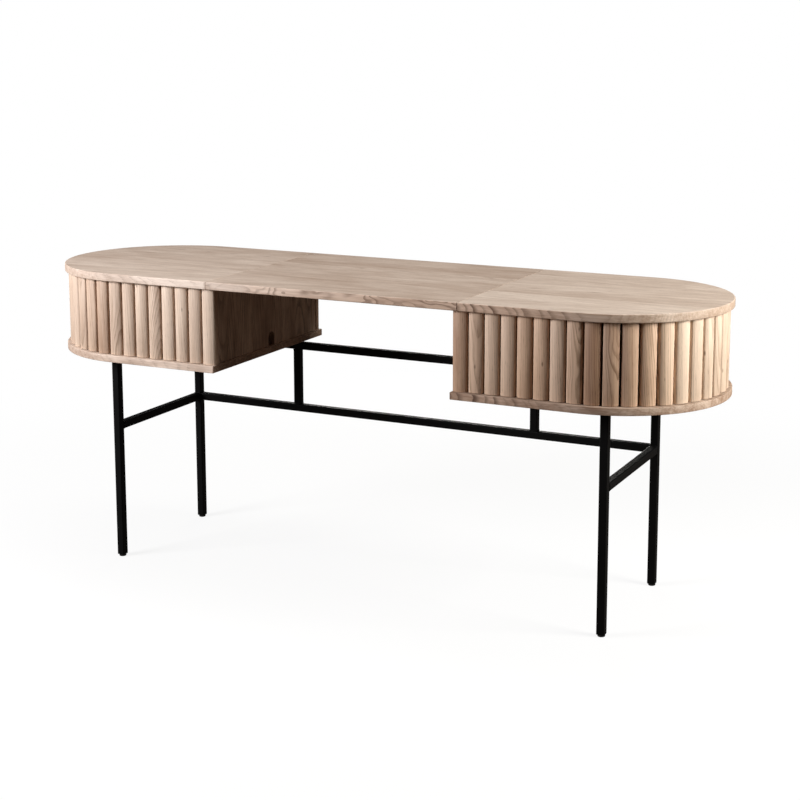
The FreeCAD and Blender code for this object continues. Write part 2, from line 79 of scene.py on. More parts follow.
def linear(hex_colour: str) -> tuple[float, float, float, float]:
    """Turns an sRGB hex colour into Blender's linear colour.

    Args:
        hex_colour: Six hex digits after a hash.

    Returns:
        Linear red, green, blue and an alpha of 1.
    """
    channels = (int(hex_colour[i:i + 2], 16) / 255 for i in (1, 3, 5))
    red, green, blue = (c / 12.92 if c <= 0.04045 else ((c + 0.055) / 1.055) ** 2.4 for c in channels)
    return red, green, blue, 1.0


def add_node(tree: bpy.types.NodeTree, kind: str, inputs: dict[Union[int, str], NodeInput] | None = None,
             out: Union[int, str] = 0, **settings: object) -> Socket | None:
    """Adds a node, sets its properties and feeds its inputs.

    Args:
        tree: The node tree to add to.
        kind: The node's type name, after the ShaderNode that all of them start with.
        inputs: Values, or output sockets to link, by socket name or number.
        out: Name or number of the output that is wanted.
        **settings: Properties of the node.

    Returns:
        The wanted output, or None for a node without outputs.
    """
    node = tree.nodes.new("ShaderNode" + kind)
    for name, value in settings.items():
        setattr(node, name, value)
    for key, value in (inputs or {}).items():
        if isinstance(value, Socket):
            tree.links.new(value, node.inputs[key])
        else:
            node.inputs[key].default_value = value
    return node.outputs[out] if node.outputs else None


def start_nodes(owner: Union[bpy.types.Material, bpy.types.World]) -> Adder:
    """Empties the node tree of a material or a world.

    Args:
        owner: The material or world.

    Returns:
        The function that adds a node to it.
    """
    owner.use_nodes = True
    owner.node_tree.nodes.clear()
    return partial(add_node, owner.node_tree)


@dataclass(frozen=True)
class Finish:
    """A finish: the name of the real material, and how its surface is shaded."""

    name: str

    def surface(self, add: Adder) -> dict[str, NodeInput]:
        """Gives the inputs of the shader, with nodes from the given function."""
        raise NotImplementedError

    def build(self) -> bpy.types.Material:
        """Builds the material."""
        material = bpy.data.materials.new(self.name)
        add = start_nodes(material)
        add("OutputMaterial", {"Surface": add("BsdfPrincipled", self.surface(add))})
        return material


@dataclass(frozen=True)
class WashedAsh(Finish):
    """Ash planed smooth and washed with a pale oil.

    The wash leaves a matte beige face. Each year's ring starts with a band of open pores that
    stays darker, so rings show as lines, arches or slanted streaks, whichever way the stave was cut.
    Sizes in pairs are across the grain and along it. Pores are drawn twice as coarse as real ones, to show.
    """

    pale: str
    deep: str
    ring: str
    pore: str = "#5A4535"
    plain: str = "#FFFFFF"
    warm: str = "#FFF0E3"
    ring_mm: float = 4.2
    growth_rate: float = 0.37
    growth_swing: float = 1.6
    band_rise: float = 0.08
    band_fall: tuple[float, float] = (0.10, 0.58)
    faintest_ring: float = 0.3
    bend_mm: float = 9.0
    bend_size_mm: tuple[float, float] = (90, 210)
    fibre_mm: tuple[float, float] = (1.4, 60)
    fibre_swing: float = 0.16
    pore_mm: tuple[float, float] = (0.8, 16)
    pore_share: tuple[float, float, float] = (0.56, 0.68, 0.5)
    patches: tuple[tuple[float, float, float], ...] = (
        (3.4, 230, 0.36), (9, 150, 0.32), (26, 90, 0.26), (70, 320, 0.3))
    knot_spread_mm: float = 0.0
    knot_stretch: float = 2.6
    knot_share: tuple[float, float, float] = (0.03, 0.085, 0.7)
    roughness: tuple[float, float] = (0.6, 0.72)
    relief: tuple[float, float] = (0.22, 0.25 * MM)
    ior: float = 1.46

    def surface(self, add: Adder) -> dict[str, NodeInput]:
        """Works out the wood from the grain and the looks laid on each mesh.

        Args:
            add: Adds a node to the material.

        Returns:
            The inputs of the shader.
        """
        grain = add("Attribute", out="Vector", attribute_name="grain")
        tone, figure, bend, blush = (add("Attribute", out="Fac", attribute_name=look) for look in LOOKS)
        early, ring_id = self.rings(add, grain, bend)
        fibres = self.noise(add, grain, self.fibre_mm)
        marks = self.pores(add, grain, early)
        if self.knot_spread_mm:
            marks = add("Math", {0: marks, 1: self.knots(add, grain)}, operation="MAXIMUM")
        for across_mm, along_mm, swing in self.patches:
            spots = self.noise(add, grain, (across_mm, along_mm))
            tone = add("Math", {0: tone, 1: self.swing(add, spots, 0.0, swing)}, operation="ADD")
        uneven = add("MapRange", {"Value": ring_id, "To Min": self.faintest_ring})
        contrast = add("Math", {0: uneven, 1: figure}, operation="MULTIPLY")
        band = add("Math", {0: early, 1: contrast}, operation="MULTIPLY")
        colour = linear(self.pale)
        for share, shade in ((tone, self.deep), (band, self.ring), (marks, self.pore)):
            colour = add("Mix", {"Factor": share, 6: colour, 7: linear(shade)}, 2, data_type="RGBA")
        tint = add("Mix", {"Factor": blush, 6: linear(self.plain), 7: linear(self.warm)}, 2, data_type="RGBA")
        for layer in (tint, self.swing(add, fibres, 1.0, self.fibre_swing)):
            colour = add("Mix", {"Factor": 1.0, 6: colour, 7: layer}, 2, data_type="RGBA",
                         blend_type="MULTIPLY")
        smooth, rough = self.roughness
        strength, depth = self.relief
        height = add("Math", {0: fibres, 1: marks}, operation="SUBTRACT")
        return {"Base Color": colour, "IOR": self.ior,
                "Roughness": add("MapRange", {"Value": band, "To Min": smooth, "To Max": rough}),
                "Normal": add("Bump", {"Height": height, "Strength": strength, "Distance": depth})}

    def noise(self, add: Adder, grain: Socket, size_mm: tuple[float, float], detail: float = 2.0) -> Socket:
        """Adds noise drawn out along the grain.

        Args:
            add: Adds a node to the material.
            grain: Grain coordinates in metres, with the last one along the grain.
            size_mm: Size of a spot across the grain and along it.
            detail: Octaves of finer noise.

        Returns:
            A value from 0 to 1.
        """
        across, along = (METRE_MM / size for size in size_mm)
        scaled = add("VectorMath", {0: grain, 1: (across, across, along)}, operation="MULTIPLY")
        return add("TexNoise", {"Vector": scaled, "Scale": 1.0, "Detail": detail}, "Fac")

    def rings(self, add: Adder, grain: Socket, bend: Socket) -> tuple[Socket, Socket]:
        """Adds the yearly rings round the pith, bent by slow noise.

        Args:
            add: Adds a node to the material.
            grain: Grain coordinates in metres.
            bend: How many times the usual bend the rings have.

        Returns:
            The dark early band of each ring, and a random number per ring.
        """
        across, along = (METRE_MM / size for size in self.bend_size_mm)
        where = add("VectorMath", {0: grain, 1: (across, across, along)}, operation="MULTIPLY")
        hurry = add("Math", {0: bend}, operation="SQRT")
        wavy = add("VectorMath", {0: where, "Scale": hurry}, operation="SCALE")
        drift = add("TexNoise", {"Vector": wavy, "Scale": 1.0, "Detail": 2.0}, "Color")
        centred = add("VectorMath", {0: drift, 1: (0.5, 0.5, 0.5)}, operation="SUBTRACT")
        bent = add("VectorMath", {0: centred, "Scale": bend}, operation="SCALE")
        reach = self.bend_mm * MM
        sway = add("VectorMath", {0: bent, 1: (reach, reach, 0), 2: grain}, operation="MULTIPLY_ADD")
        flat = add("VectorMath", {0: sway, 1: (1, 1, 0)}, operation="MULTIPLY")
        radius = add("VectorMath", {0: flat}, "Value", operation="LENGTH")
        years = add("Math", {0: radius, 1: self.ring_mm * MM}, operation="DIVIDE")
        growth = add("TexNoise", {"W": years, "Scale": self.growth_rate, "Detail": 1.0}, "Fac",
                     noise_dimensions="1D")
        uneven = add("Math", {0: growth, 1: self.growth_swing, 2: years}, operation="MULTIPLY_ADD")
        part = add("Math", {0: uneven}, operation="FRACT")
        rise = add("MapRange", {"Value": part, "From Max": self.band_rise}, interpolation_type="SMOOTHSTEP")
        start, end = self.band_fall
        fall = add("MapRange", {
            "Value": part, "From Min": start, "From Max": end, "To Min": 1.0, "To Max": 0.0},
            interpolation_type="SMOOTHSTEP")
        year = add("Math", {0: uneven}, operation="FLOOR")
        early = add("Math", {0: rise, 1: fall}, operation="MULTIPLY")
        return early, add("TexWhiteNoise", {"W": year}, "Value", noise_dimensions="1D")

    def pores(self, add: Adder, grain: Socket, early: Socket) -> Socket:
        """Adds the short dark pores of the early bands.

        Args:
            add: Adds a node to the material.
            grain: Grain coordinates in metres.
            early: The early bands.

        Returns:
            How much pore shows.
        """
        start, end, most = self.pore_share
        dashes = self.noise(add, grain, self.pore_mm, detail=1.0)
        picked = add("MapRange", {"Value": dashes, "From Min": start, "From Max": end, "To Max": most})
        return add("Math", {0: picked, 1: early}, operation="MULTIPLY")

    def knots(self, add: Adder, grain: Socket) -> Socket:
        """Adds a few pin knots, longer along the grain than across it.

        Args:
            add: Adds a node to the material.
            grain: Grain coordinates in metres.

        Returns:
            How much knot shows.
        """
        start, end, most = self.knot_share
        across = METRE_MM / self.knot_spread_mm
        stretch = (across, across, across / self.knot_stretch)
        scaled = add("VectorMath", {0: grain, 1: stretch}, operation="MULTIPLY")
        away = add("TexVoronoi", {"Vector": scaled, "Scale": 1.0}, "Distance")
        return add("MapRange", {
            "Value": away, "From Min": start, "From Max": end, "To Min": most, "To Max": 0.0})

    def swing(self, add: Adder, noise: Socket, middle: float, swing: float) -> Socket:
        """Spreads a noise, which is mostly between 0.25 and 0.75, evenly about a middle value.

        Args:
            add: Adds a node to the material.
            noise: The noise.
            middle: The value that it swings about.
            swing: How far apart its ends are.

        Returns:
            The spread value.
        """
        return add("MapRange", {"Value": noise, "From Min": 0.25, "From Max": 0.75,
                                "To Min": middle - swing / 2, "To Max": middle + swing / 2})


@dataclass(frozen=True)
class PatchyFinish(Finish):
    """A made surface with cloudy patches of a second shade, and a fine skin where it has one."""

    ground: str
    patch: str
    patch_mm: float
    patch_detail: float
    patch_range: tuple[float, float] = (0.0, 1.0)
    roughness: tuple[float, float] | None = None
    skin_mm: float = 0.0
    skin_detail: float = 1.0
    skin_relief: tuple[float, float] = (0.0, 0.0)
    even: tuple[tuple[str, float], ...] = ()

    def surface(self, add: Adder) -> dict[str, NodeInput]:
        """Works out the patches and the skin.

        Args:
            add: Adds a node to the material.

        Returns:
            The inputs of the shader.
        """
        place = add("TexCoord", out="Object")
        cloud = add("TexNoise", {
            "Vector": place, "Scale": METRE_MM / self.patch_mm, "Detail": self.patch_detail}, "Fac")
        start, end = self.patch_range
        share = add("MapRange", {"Value": cloud, "From Min": start, "From Max": end})
        inputs: dict[str, NodeInput] = dict(self.even)
        inputs["Base Color"] = add("Mix", {
            "Factor": share, 6: linear(self.ground), 7: linear(self.patch)}, 2, data_type="RGBA")
        if self.roughness:
            smooth, rough = self.roughness
            inputs["Roughness"] = add("MapRange", {"Value": share, "To Min": smooth, "To Max": rough})
        if self.skin_mm:
            strength, depth = self.skin_relief
            skin = add("TexNoise", {
                "Vector": place, "Scale": METRE_MM / self.skin_mm, "Detail": self.skin_detail}, "Fac")
            inputs["Normal"] = add("Bump", {"Height": skin, "Strength": strength, "Distance": depth})
        return inputs


@dataclass(frozen=True)
class PowderCoat(PatchyFinish):
    """Mild steel tube with a baked black powder coat: satin, with a fine orange-peel skin."""

    name: str = "black_powder_coat"
    ground: str = "#040404"
    patch: str = "#080808"
    patch_mm: float = 60
    patch_detail: float = 4.0
    roughness: tuple[float, float] = (0.44, 0.6)
    skin_mm: float = 1.6
    skin_relief: tuple[float, float] = (0.12, 0.08 * MM)
    even: tuple[tuple[str, float], ...] = (("IOR", 1.5), ("Specular IOR Level", 0.1))


@dataclass(frozen=True)
class MouldedPlastic(PatchyFinish):
    """Black nylon, injection moulded: a fine matte spark texture with a few paler scuffs."""

    name: str = "black_nylon"
    ground: str = "#0E0E0E"
    patch: str = "#24221F"
    patch_mm: float = 7
    patch_detail: float = 5.0
    patch_range: tuple[float, float] = (0.52, 0.75)
    skin_mm: float = 0.7
    skin_detail: float = 2.0
    skin_relief: tuple[float, float] = (0.3, 0.06 * MM)
    even: tuple[tuple[str, float], ...] = (("IOR", 1.53), ("Roughness", 0.52))


@dataclass(frozen=True)
class ZincPlate(PatchyFinish):
    """Bright zinc-plated steel: bluish grey metal with cloudy patches."""

    name: str = "zinc_plated_steel"
    ground: str = "#C3C7CB"
    patch: str = "#8E9296"
    patch_mm: float = 2.5
    patch_detail: float = 3.0
    roughness: tuple[float, float] = (0.22, 0.42)
    even: tuple[tuple[str, float], ...] = (("Metallic", 1.0),)


@dataclass(frozen=True)
class BackingCloth(Finish):
    """Plain-woven brown cotton duck glued behind the slats.

    The real thread is about 0.8 mm. It is drawn at twice that, so that the weave shows.
    """

    name: str = "cotton_duck"
    thread: str = "#756757"
    # colour of the weave's dips, where the threads pass under: painted shade
    weave_dip_shade: str = "#3B322A"
    thread_mm: float = 1.6
    slub_mm: float = 25
    relief: tuple[float, float] = (0.5, 0.3 * MM)
    roughness: float = 0.9
    sheen: float = 0.2

    def surface(self, add: Adder) -> dict[str, NodeInput]:
        """Works out the weave from two crossed waves on the cloth's own coordinates.

        Args:
            add: Adds a node to the material.

        Returns:
            The inputs of the shader.
        """
        cloth = add("Attribute", out="Vector", attribute_name="weave")
        axes = add("SeparateXYZ", {0: cloth}).node.outputs
        turns = math.tau / (self.thread_mm * MM)
        angles = [add("Math", {0: axes[axis], 1: turns}, operation="MULTIPLY") for axis in ("X", "Y")]
        warp, weft = (add("Math", {0: angle}, operation="SINE") for angle in angles)
        crossed = add("Math", {0: warp, 1: weft}, operation="MULTIPLY")
        over = add("MapRange", {"Value": crossed, "From Min": -1.0})
        slub = add("TexNoise", {"Vector": cloth, "Scale": METRE_MM / self.slub_mm, "Detail": 3.0}, "Fac")
        mixed = add("Math", {0: over, 1: slub}, operation="MULTIPLY")
        # the colour darkens from the thread to the painted shade where the threads dip
        colour = add("Mix", {"Factor": mixed, 6: linear(self.weave_dip_shade), 7: linear(self.thread)}, 2,
                     data_type="RGBA")
        strength, depth = self.relief
        return {"Base Color": colour, "Roughness": self.roughness, "Sheen Weight": self.sheen,
                "Normal": add("Bump", {"Height": over, "Strength": strength, "Distance": depth})}


@dataclass(frozen=True)
class RawBeech(Finish):
    """Raw beech dowel: pinkish tan with short dark flecks along its length, which lies along X."""

    name: str = "raw_beech"
    ground: str = "#C9A078"
    fleck: str = "#9A704B"
    fleck_mm: tuple[float, float, float] = (6, 0.8, 0.8)
    roughness: float = 0.7

    def surface(self, add: Adder) -> dict[str, NodeInput]:
        """Works out the flecks.

        Args:
            add: Adds a node to the material.

        Returns:
            The inputs of the shader.
        """
        scale = tuple(METRE_MM / size for size in self.fleck_mm)
        drawn = add("Mapping", {"Vector": add("TexCoord", out="Object"), "Scale": scale})
        fleck = add("TexNoise", {"Vector": drawn, "Scale": 1.0, "Detail": 2.0}, "Fac")
        colour = add("Mix", {"Factor": fleck, 6: linear(self.ground), 7: linear(self.fleck)}, 2,
                     data_type="RGBA")
        return {"Base Color": colour, "Roughness": self.roughness}


@dataclass
class Finishes:
    """Every material of the desk, built once."""

    top: bpy.types.Material = field(default_factory=WashedAsh(
        "washed_ash_top", "#E8D6C6", "#A98F7B", "#6A4F3D").build)
    carcass: bpy.types.Material = field(default_factory=WashedAsh(
        "washed_ash_carcass", "#E2CDBB", "#8A6C57", "#523B2B").build)
    slat: bpy.types.Material = field(default_factory=WashedAsh(
        "washed_ash_slat", "#DDC7B2", "#A68973", "#70543D", bend_mm=5.0, knot_spread_mm=34).build)
    steel: bpy.types.Material = field(default_factory=PowderCoat().build)
    plastic: bpy.types.Material = field(default_factory=MouldedPlastic().build)
    zinc: bpy.types.Material = field(default_factory=ZincPlate().build)
    cloth: bpy.types.Material = field(default_factory=BackingCloth().build)
    beech: bpy.types.Material = field(default_factory=RawBeech().build)


def everything(mesh: BMesh) -> list[Union[BMVert, BMEdge, BMFace]]:
    """Lists all the vertices, edges and faces of a mesh."""
    return mesh.verts[:] + mesh.edges[:] + mesh.faces[:]


def corners(faces: Iterable[BMFace]) -> list[BMLoop]:
    """Lists the corners of some faces."""
    return [loop for face in faces for loop in face.loops]


def slice_across(mesh: BMesh, normal: Vector, level: float, drop_beyond: bool = False) -> None:
    """Cuts a mesh through with a plane.

    Args:
        mesh: The mesh.
        normal: The way that the plane faces.
        level: How far along its normal the plane lies.
        drop_beyond: Whether what lies beyond the plane is taken away.
    """
    bmesh.ops.bisect_plane(mesh, geom=everything(mesh), dist=MERGE_DISTANCE, plane_co=level * normal,
                           plane_no=normal, clear_outer=drop_beyond)


def move(mesh: BMesh, matrix: Matrix) -> None:
    """Moves a whole mesh."""
    bmesh.ops.transform(mesh, matrix=matrix, verts=mesh.verts[:])


def draw_out(mesh: BMesh, extruded: dict[str, list], way: Vector) -> None:
    """Moves the new vertices of an extrusion."""
    bmesh.ops.translate(mesh, vec=way, verts=[g for g in extruded["geom"] if isinstance(g, BMVert)])


def edges_where(mesh: BMesh, wanted: Callable[[Vector, Vector], bool]) -> list[BMEdge]:
    """Finds the edges whose two ends pass a test."""
    return [e for e in mesh.edges if wanted(e.verts[0].co, e.verts[1].co)]


def both(test: Callable[[Vector], bool]) -> Callable[[Vector, Vector], bool]:
    """Makes a test of an edge from a test of a point, which both of its ends have to pass."""
    return lambda a, b: test(a) and test(b)


def near(a: float, b: float) -> bool:
    """Tells whether two lengths are the same to a hundredth of a millimetre."""
    return abs(a - b) < 0.01 * MM


def level_edge(a: Vector, b: Vector) -> bool:
    """Tells whether an edge between two points is level."""
    return near(a.z, b.z)


def round_over(mesh: BMesh, edges: Sequence[BMEdge], size: float, segments: int) -> None:
    """Rounds edges over.

    Args:
        mesh: The mesh.
        edges: The edges to round.
        size: How far the round reaches from the edge.
        segments: Faces across the round.
    """
    bmesh.ops.bevel(mesh, geom=list(edges), offset=size, offset_type="OFFSET", affect="EDGES",
                    segments=segments, profile=0.5, material=-1, clamp_overlap=True)


def raise_face(mesh: BMesh, height: float) -> None:
    """Extrudes a flat face upwards into a closed solid."""
    draw_out(mesh, bmesh.ops.extrude_face_region(mesh, geom=mesh.faces[:]), height * UP)
    bmesh.ops.recalc_face_normals(mesh, faces=mesh.faces[:])


def half_stadium(radius: float, straight: float, height: float, segments: int) -> BMesh:
    """Makes a solid: half a disc towards +X, with straight sides back to -X, standing on Z = 0.

    Args:
        radius: Radius of the round end, centred on the origin.
        straight: Length of the straight sides.
        height: Its height.
        segments: Sides of the full circle.

    Returns:
        The mesh.
    """
    mesh = bmesh.new()
    bmesh.ops.create_circle(mesh, cap_ends=True, segments=segments, radius=radius)
    slice_across(mesh, -RIGHT, 0, drop_beyond=True)
    chord = edges_where(mesh, both(lambda p: near(p.x, 0)))
    draw_out(mesh, bmesh.ops.extrude_edge_only(mesh, edges=chord), -straight * RIGHT)
    bmesh.ops.dissolve_edges(mesh, edges=chord)
    raise_face(mesh, height)
    return mesh


def block(low: Vector, high: Vector) -> BMesh:
    """Makes a box.

    Args:
        low: Its lowest corner.
        high: Its highest corner.

    Returns:
        The mesh.
    """
    mesh = bmesh.new()
    bmesh.ops.create_cube(mesh, size=1.0)
    bmesh.ops.scale(mesh, vec=high - low, verts=mesh.verts[:])
    move(mesh, Matrix.Translation((low + high) / 2))
    return mesh


def cylinder(foot: Vector, radius: float, height: float, segments: int, mesh: BMesh | None = None) -> BMesh:
    """Makes an upright cylinder.

    Args:
        foot: The middle of its lower end.
        radius: Its radius.
        height: Its height.
        segments: Sides of its circle.
        mesh: The mesh that it is made in, if not a new one.

    Returns:
        The mesh.
    """
    if mesh is None:
        mesh = bmesh.new()
    bmesh.ops.create_cone(mesh, cap_ends=True, segments=segments, radius1=radius, radius2=radius,
                          depth=height, matrix=Matrix.Translation(foot + height / 2 * UP))
    return mesh


def store(name: str, mesh: BMesh) -> bpy.types.Mesh:
    """Stores a mesh as Blender's data and frees it.

    Args:
        name: Name of the data.
        mesh: The mesh.

    Returns:
        The data.
    """
    data = bpy.data.meshes.new(name)
    mesh.to_mesh(data)
    mesh.free()
    return data


def add_object(name: str, data: bpy.types.ID) -> bpy.types.Object:
    """Puts an object into the scene.

    Args:
        name: Its name.
        data: Its mesh, lamp or camera.

    Returns:
        The object.
    """
    thing = bpy.data.objects.new(name, data)
    bpy.context.scene.collection.objects.link(thing)
    return thing


def add_mesh(target: BMesh, source: BMesh) -> None:
    """Copies one mesh into another.

    Args:
        target: The mesh that grows.
        source: The mesh that is copied and freed.
    """
    holder = store("copy", source)
    target.from_mesh(holder)
    bpy.data.meshes.remove(holder)


def carve(mesh: BMesh, cutter: BMesh) -> BMesh:
    """Cuts one mesh out of another.

    Args:
        mesh: The solid to cut. It is freed.
        cutter: The solid to take away. It is freed.

    Returns:
        What is left.
    """
    solid, tool = (add_object("carving", store("carving", shape)) for shape in (mesh, cutter))
    cut = solid.modifiers.new("cut", "BOOLEAN")
    cut.operation = "DIFFERENCE"
    cut.solver = "EXACT"
    cut.object = tool
    bpy.context.view_layer.update()
    result = bmesh.new()
    evaluated = solid.evaluated_get(bpy.context.evaluated_depsgraph_get())
    result.from_mesh(evaluated.to_mesh())
    evaluated.to_mesh_clear()
    for holder in (solid, tool):
        data = holder.data
        bpy.data.objects.remove(holder)
        bpy.data.meshes.remove(data)
    return result


def make_piece(node: str, made: str, mesh: BMesh, materials: Sequence[bpy.types.Material],
               body: str = ROOT_BODY) -> bpy.types.Object:
    """Turns a mesh into a piece of the desk that rides on a body and stands for a node.

    Args:
        node: The node that it stands for.
        made: The word after the node's name in the piece's name.
        mesh: Its mesh, at its place. It is freed.
        materials: Its materials, in the order that the faces number them.
        body: The body that it moves with.

    Returns:
        The new object.
    """
    for face in mesh.faces:
        face.smooth = face.calc_area() < FLAT_AREA
    for edge in mesh.edges:
        edge.smooth = len(edge.link_faces) == 2 and edge.calc_face_angle(math.pi) < SHARP_ANGLE
    name = f"{node}_{made}"
    piece = add_object(name, store(name, mesh))
    for material in materials:
        piece.data.materials.append(material)
    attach(piece, body)
    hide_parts(node)
    LOG.info("%s: %d faces on %s", name, len(piece.data.polygons), body)
    return piece


class Sawing(Enum):
    """How a stave was sawn: how far its rings turn away from lying flat with its face, in degrees."""

    FLAT = 8
    SKEW = 36
    RIFT = 48
    QUARTER = 84

    def turn(self, rng: random.Random) -> float:
        """Gives the turn of one stave, which strays a little from its kind."""
        return self.value + rng.uniform(-8, 8)


@dataclass(frozen=True)
class RimStop:
    """How a board's rim looks at one place along the desk: its figure, tone and warmth."""

    x: float
    figure: float
    tone: float
    blush: float = 0.0


@dataclass(frozen=True)
class Rim:
    """A board's rim, whose look changes evenly from one stop to the next, from left to right.

    A face belongs to the rim when its normal rises less than the limit.
    """

    stops: Sequence[RimStop]
    normal_limit: float = 0.7

    def lay(self, mesh: BMesh) -> None:
        """Sets the look of the rim.

        Args:
            mesh: The board, with its grain laid.
        """
        for stop in self.stops:
            slice_across(mesh, RIGHT, stop.x)
        layers = mesh.loops.layers.float
        for loop in corners(f for f in mesh.faces if abs(f.normal.z) < self.normal_limit):
            for left, right in zip(self.stops, self.stops[1:]):
                share = (loop.vert.co.x - left.x) / (right.x - left.x)
                if 0 <= share <= 1:
                    for look in ("figure", "tone", "blush"):
                        start, end = getattr(left, look), getattr(right, look)
                        loop[layers[look]] = start + share * (end - start)


@dataclass(frozen=True)
class Stave:
    """One strip of timber: which way its grain runs and where the pith of its tree lay.

    The turn and the slope are in degrees. The turn is how far the rings stand off the face, and
    the slope is how steeply the grain runs out of it. The reach, in metres, is how far the figure
    may be shifted along the grain.
    """

    along: Vector
    face: Vector
    turn: float
    tone: float
    figure: float
    seed: str
    pith: float
    slope: float
    bend: float = 1.0
    blush: float = 0.0
    reach: float = 20.0

    def grain(self, origin: Vector) -> Matrix:
        """Gives the change from the mesh's own space to grain coordinates.

        Args:
            origin: A point in the middle of the stave.

        Returns:
            The matrix. Its first two results are measured from the pith, the third along the grain.
        """
        outward = Matrix.Rotation(math.radians(self.turn), 3, self.along) @ self.face
        axes = Matrix((outward, self.along.cross(outward), self.along)).to_4x4()
        lean = Matrix.Rotation(math.radians(self.slope), 4, "Y")
        where = random.Random(self.seed).uniform(-self.reach, self.reach)
        return Matrix.Translation((self.pith, 0, where)) @ lean @ axes @ Matrix.Translation(-origin)

    def lay(self, mesh: BMesh, faces: Sequence[BMFace], origin: Vector) -> None:
        """Writes the grain and the look of the stave on some faces of a mesh.

        Args:
            mesh: The mesh, in the space that the stave is given in.
            faces: The stave's own faces.
            origin: A point in the middle of the stave.
        """
        layers = mesh.loops.layers
        grain = layers.float_vector.get("grain") or layers.float_vector.new("grain")
        to_grain = self.grain(origin)
        for loop in corners(faces):
            loop[grain] = to_grain @ loop.vert.co
        for look in LOOKS:
            layer = layers.float.get(look) or layers.float.new(look)
            for loop in corners(faces):
                loop[layer] = getattr(self, look)


@dataclass(frozen=True)
class Panel:
    """How a wide board is glued up from staves side by side in Y."""

    along: Vector
    face: Vector
    stave_width: float
    seed: str
    sawings: Sequence[Sawing]
    tones: tuple[float, float]
    figure: float
    slope: float
    front_stave: Stave | None = None
    slope_spread: tuple[float, float] = (0.6, 1.4)
    piths_mm: tuple[float, float] = (56, 98)

    def lay(self, mesh: BMesh) -> None:
        """Cuts the mesh at the glue lines and gives each stave its own grain.

        Args:
            mesh: The board's mesh, at its place.
        """
        low = min(v.co.y for v in mesh.verts)
        high = max(v.co.y for v in mesh.verts)
        count = max(1, round((high - low) / self.stave_width))
        width = (high - low) / count
        for number in range(1, count):
            slice_across(mesh, BACK, low + number * width)
        groups: dict[int, list[BMFace]] = {}
        for face in mesh.faces:
            number = int((face.calc_center_median().y - low) / width)
            groups.setdefault(min(max(number, 0), count - 1), []).append(face)
        middle = sum((v.co for v in mesh.verts), Vector()) / len(mesh.verts)
        for number, faces in groups.items():
            stave = self.front_stave if number == 0 and self.front_stave else self.stave(number)
            stave.lay(mesh, faces, Vector((middle.x, low + (number + 0.5) * width, middle.z)))

    def stave(self, number: int) -> Stave:
        """Picks one stave at random.

        Args:
            number: Number of the stave, from the front.

        Returns:
            The stave.
        """
        seed = f"{self.seed}{number}"
        rng = random.Random(seed)
        turn = rng.choice(self.sawings).turn(rng)
        slope = self.slope * rng.choice((-1, 1)) * rng.uniform(*self.slope_spread)
        return Stave(self.along, self.face, turn, rng.uniform(*self.tones), self.figure, seed,
                     rng.uniform(*self.piths_mm) * MM, slope)


@dataclass
class Track:
    """The tambour track of a pedestal, shared by boards and doors."""

    centre: float = 625 * MM
    radius: float = 246 * MM
    pitch: float = 39.7 * MM
    lead: float = 245.9 * MM
    groove_inside: float = 4 * MM
    groove_outside: float = 11 * MM
    groove_depth: float = 7 * MM
    groove_end: float = 370 * MM
    groove_steps: int = 72
    overcut: float = 1 * MM

    def pedestal(self, sign: int, level: float) -> Matrix:
        """Gives the change from a right-hand board round the origin to its place at one end.

        Args:
            sign: 1 for the right pedestal, -1 for the left.
            level: Height of its underside.

        Returns:
            The change.
        """
        turn = Matrix.Rotation(0 if sign > 0 else math.pi, 4, "Z")
        return Matrix.Translation((sign * self.centre, 0, level)) @ turn

    def place(self, index: int, sign: int, level: float) -> Matrix:
        """Gives where a slat stands on the track when the door is shut.

        Args:
            index: Number of the slat, from 0 at the leading edge.
            sign: 1 for the right pedestal, -1 for the left.
            level: Height of its lower end.

        Returns:
            The change from the slat's own space.
        """
        run = index * self.pitch - self.lead
        angle = max(run, 0) / self.radius
        x = sign * (self.centre + min(run, 0) + self.radius * math.sin(angle))
        spot = Vector((x, -self.radius * math.cos(angle), level))
        return Matrix.Translation(spot) @ Matrix.Rotation(sign * angle, 4, "Z")

    def cutter(self, low: float, high: float) -> BMesh:
        """Makes the solid that cuts the groove: a rectangle swept round the end, drawn out straight.

        Args:
            low: Lower level of the cut.
            high: Upper level of the cut.

        Returns:
            The mesh, round the origin.
        """
        inner = self.radius - self.groove_inside
        outer = self.radius + self.groove_outside
        mesh = bmesh.new()
        bmesh.ops.create_grid(mesh, x_segments=1, y_segments=1, size=0.5)
        bmesh.ops.scale(mesh, vec=Vector((outer - inner, high - low, 1)), verts=mesh.verts[:])
        stand = Matrix.Rotation(math.pi / 2, 4, "Y") @ Matrix.Rotation(math.pi / 2, 4, "Z")
        move(mesh, Matrix.Translation((0, -(inner + outer) / 2, (low + high) / 2)) @ stand)
        bmesh.ops.spin(mesh, geom=everything(mesh), cent=Vector(), axis=UP, angle=math.pi,
                       steps=self.groove_steps)
        for cap in self.chord_faces(mesh):
            drawn = bmesh.ops.extrude_face_region(mesh, geom=[cap])
            draw_out(mesh, drawn, -(self.centre - self.groove_end) * RIGHT)
        bmesh.ops.remove_doubles(mesh, verts=mesh.verts[:], dist=MERGE_DISTANCE)
        bmesh.ops.delete(mesh, geom=self.chord_faces(mesh), context="FACES_ONLY")
        bmesh.ops.recalc_face_normals(mesh, faces=mesh.faces[:])
        return mesh

    def chord_faces(self, mesh: BMesh) -> list[BMFace]:
        """Finds the faces where the round part of the groove ends."""
        return [f for f in mesh.faces if all(near(v.co.x, 0) for v in f.verts)]


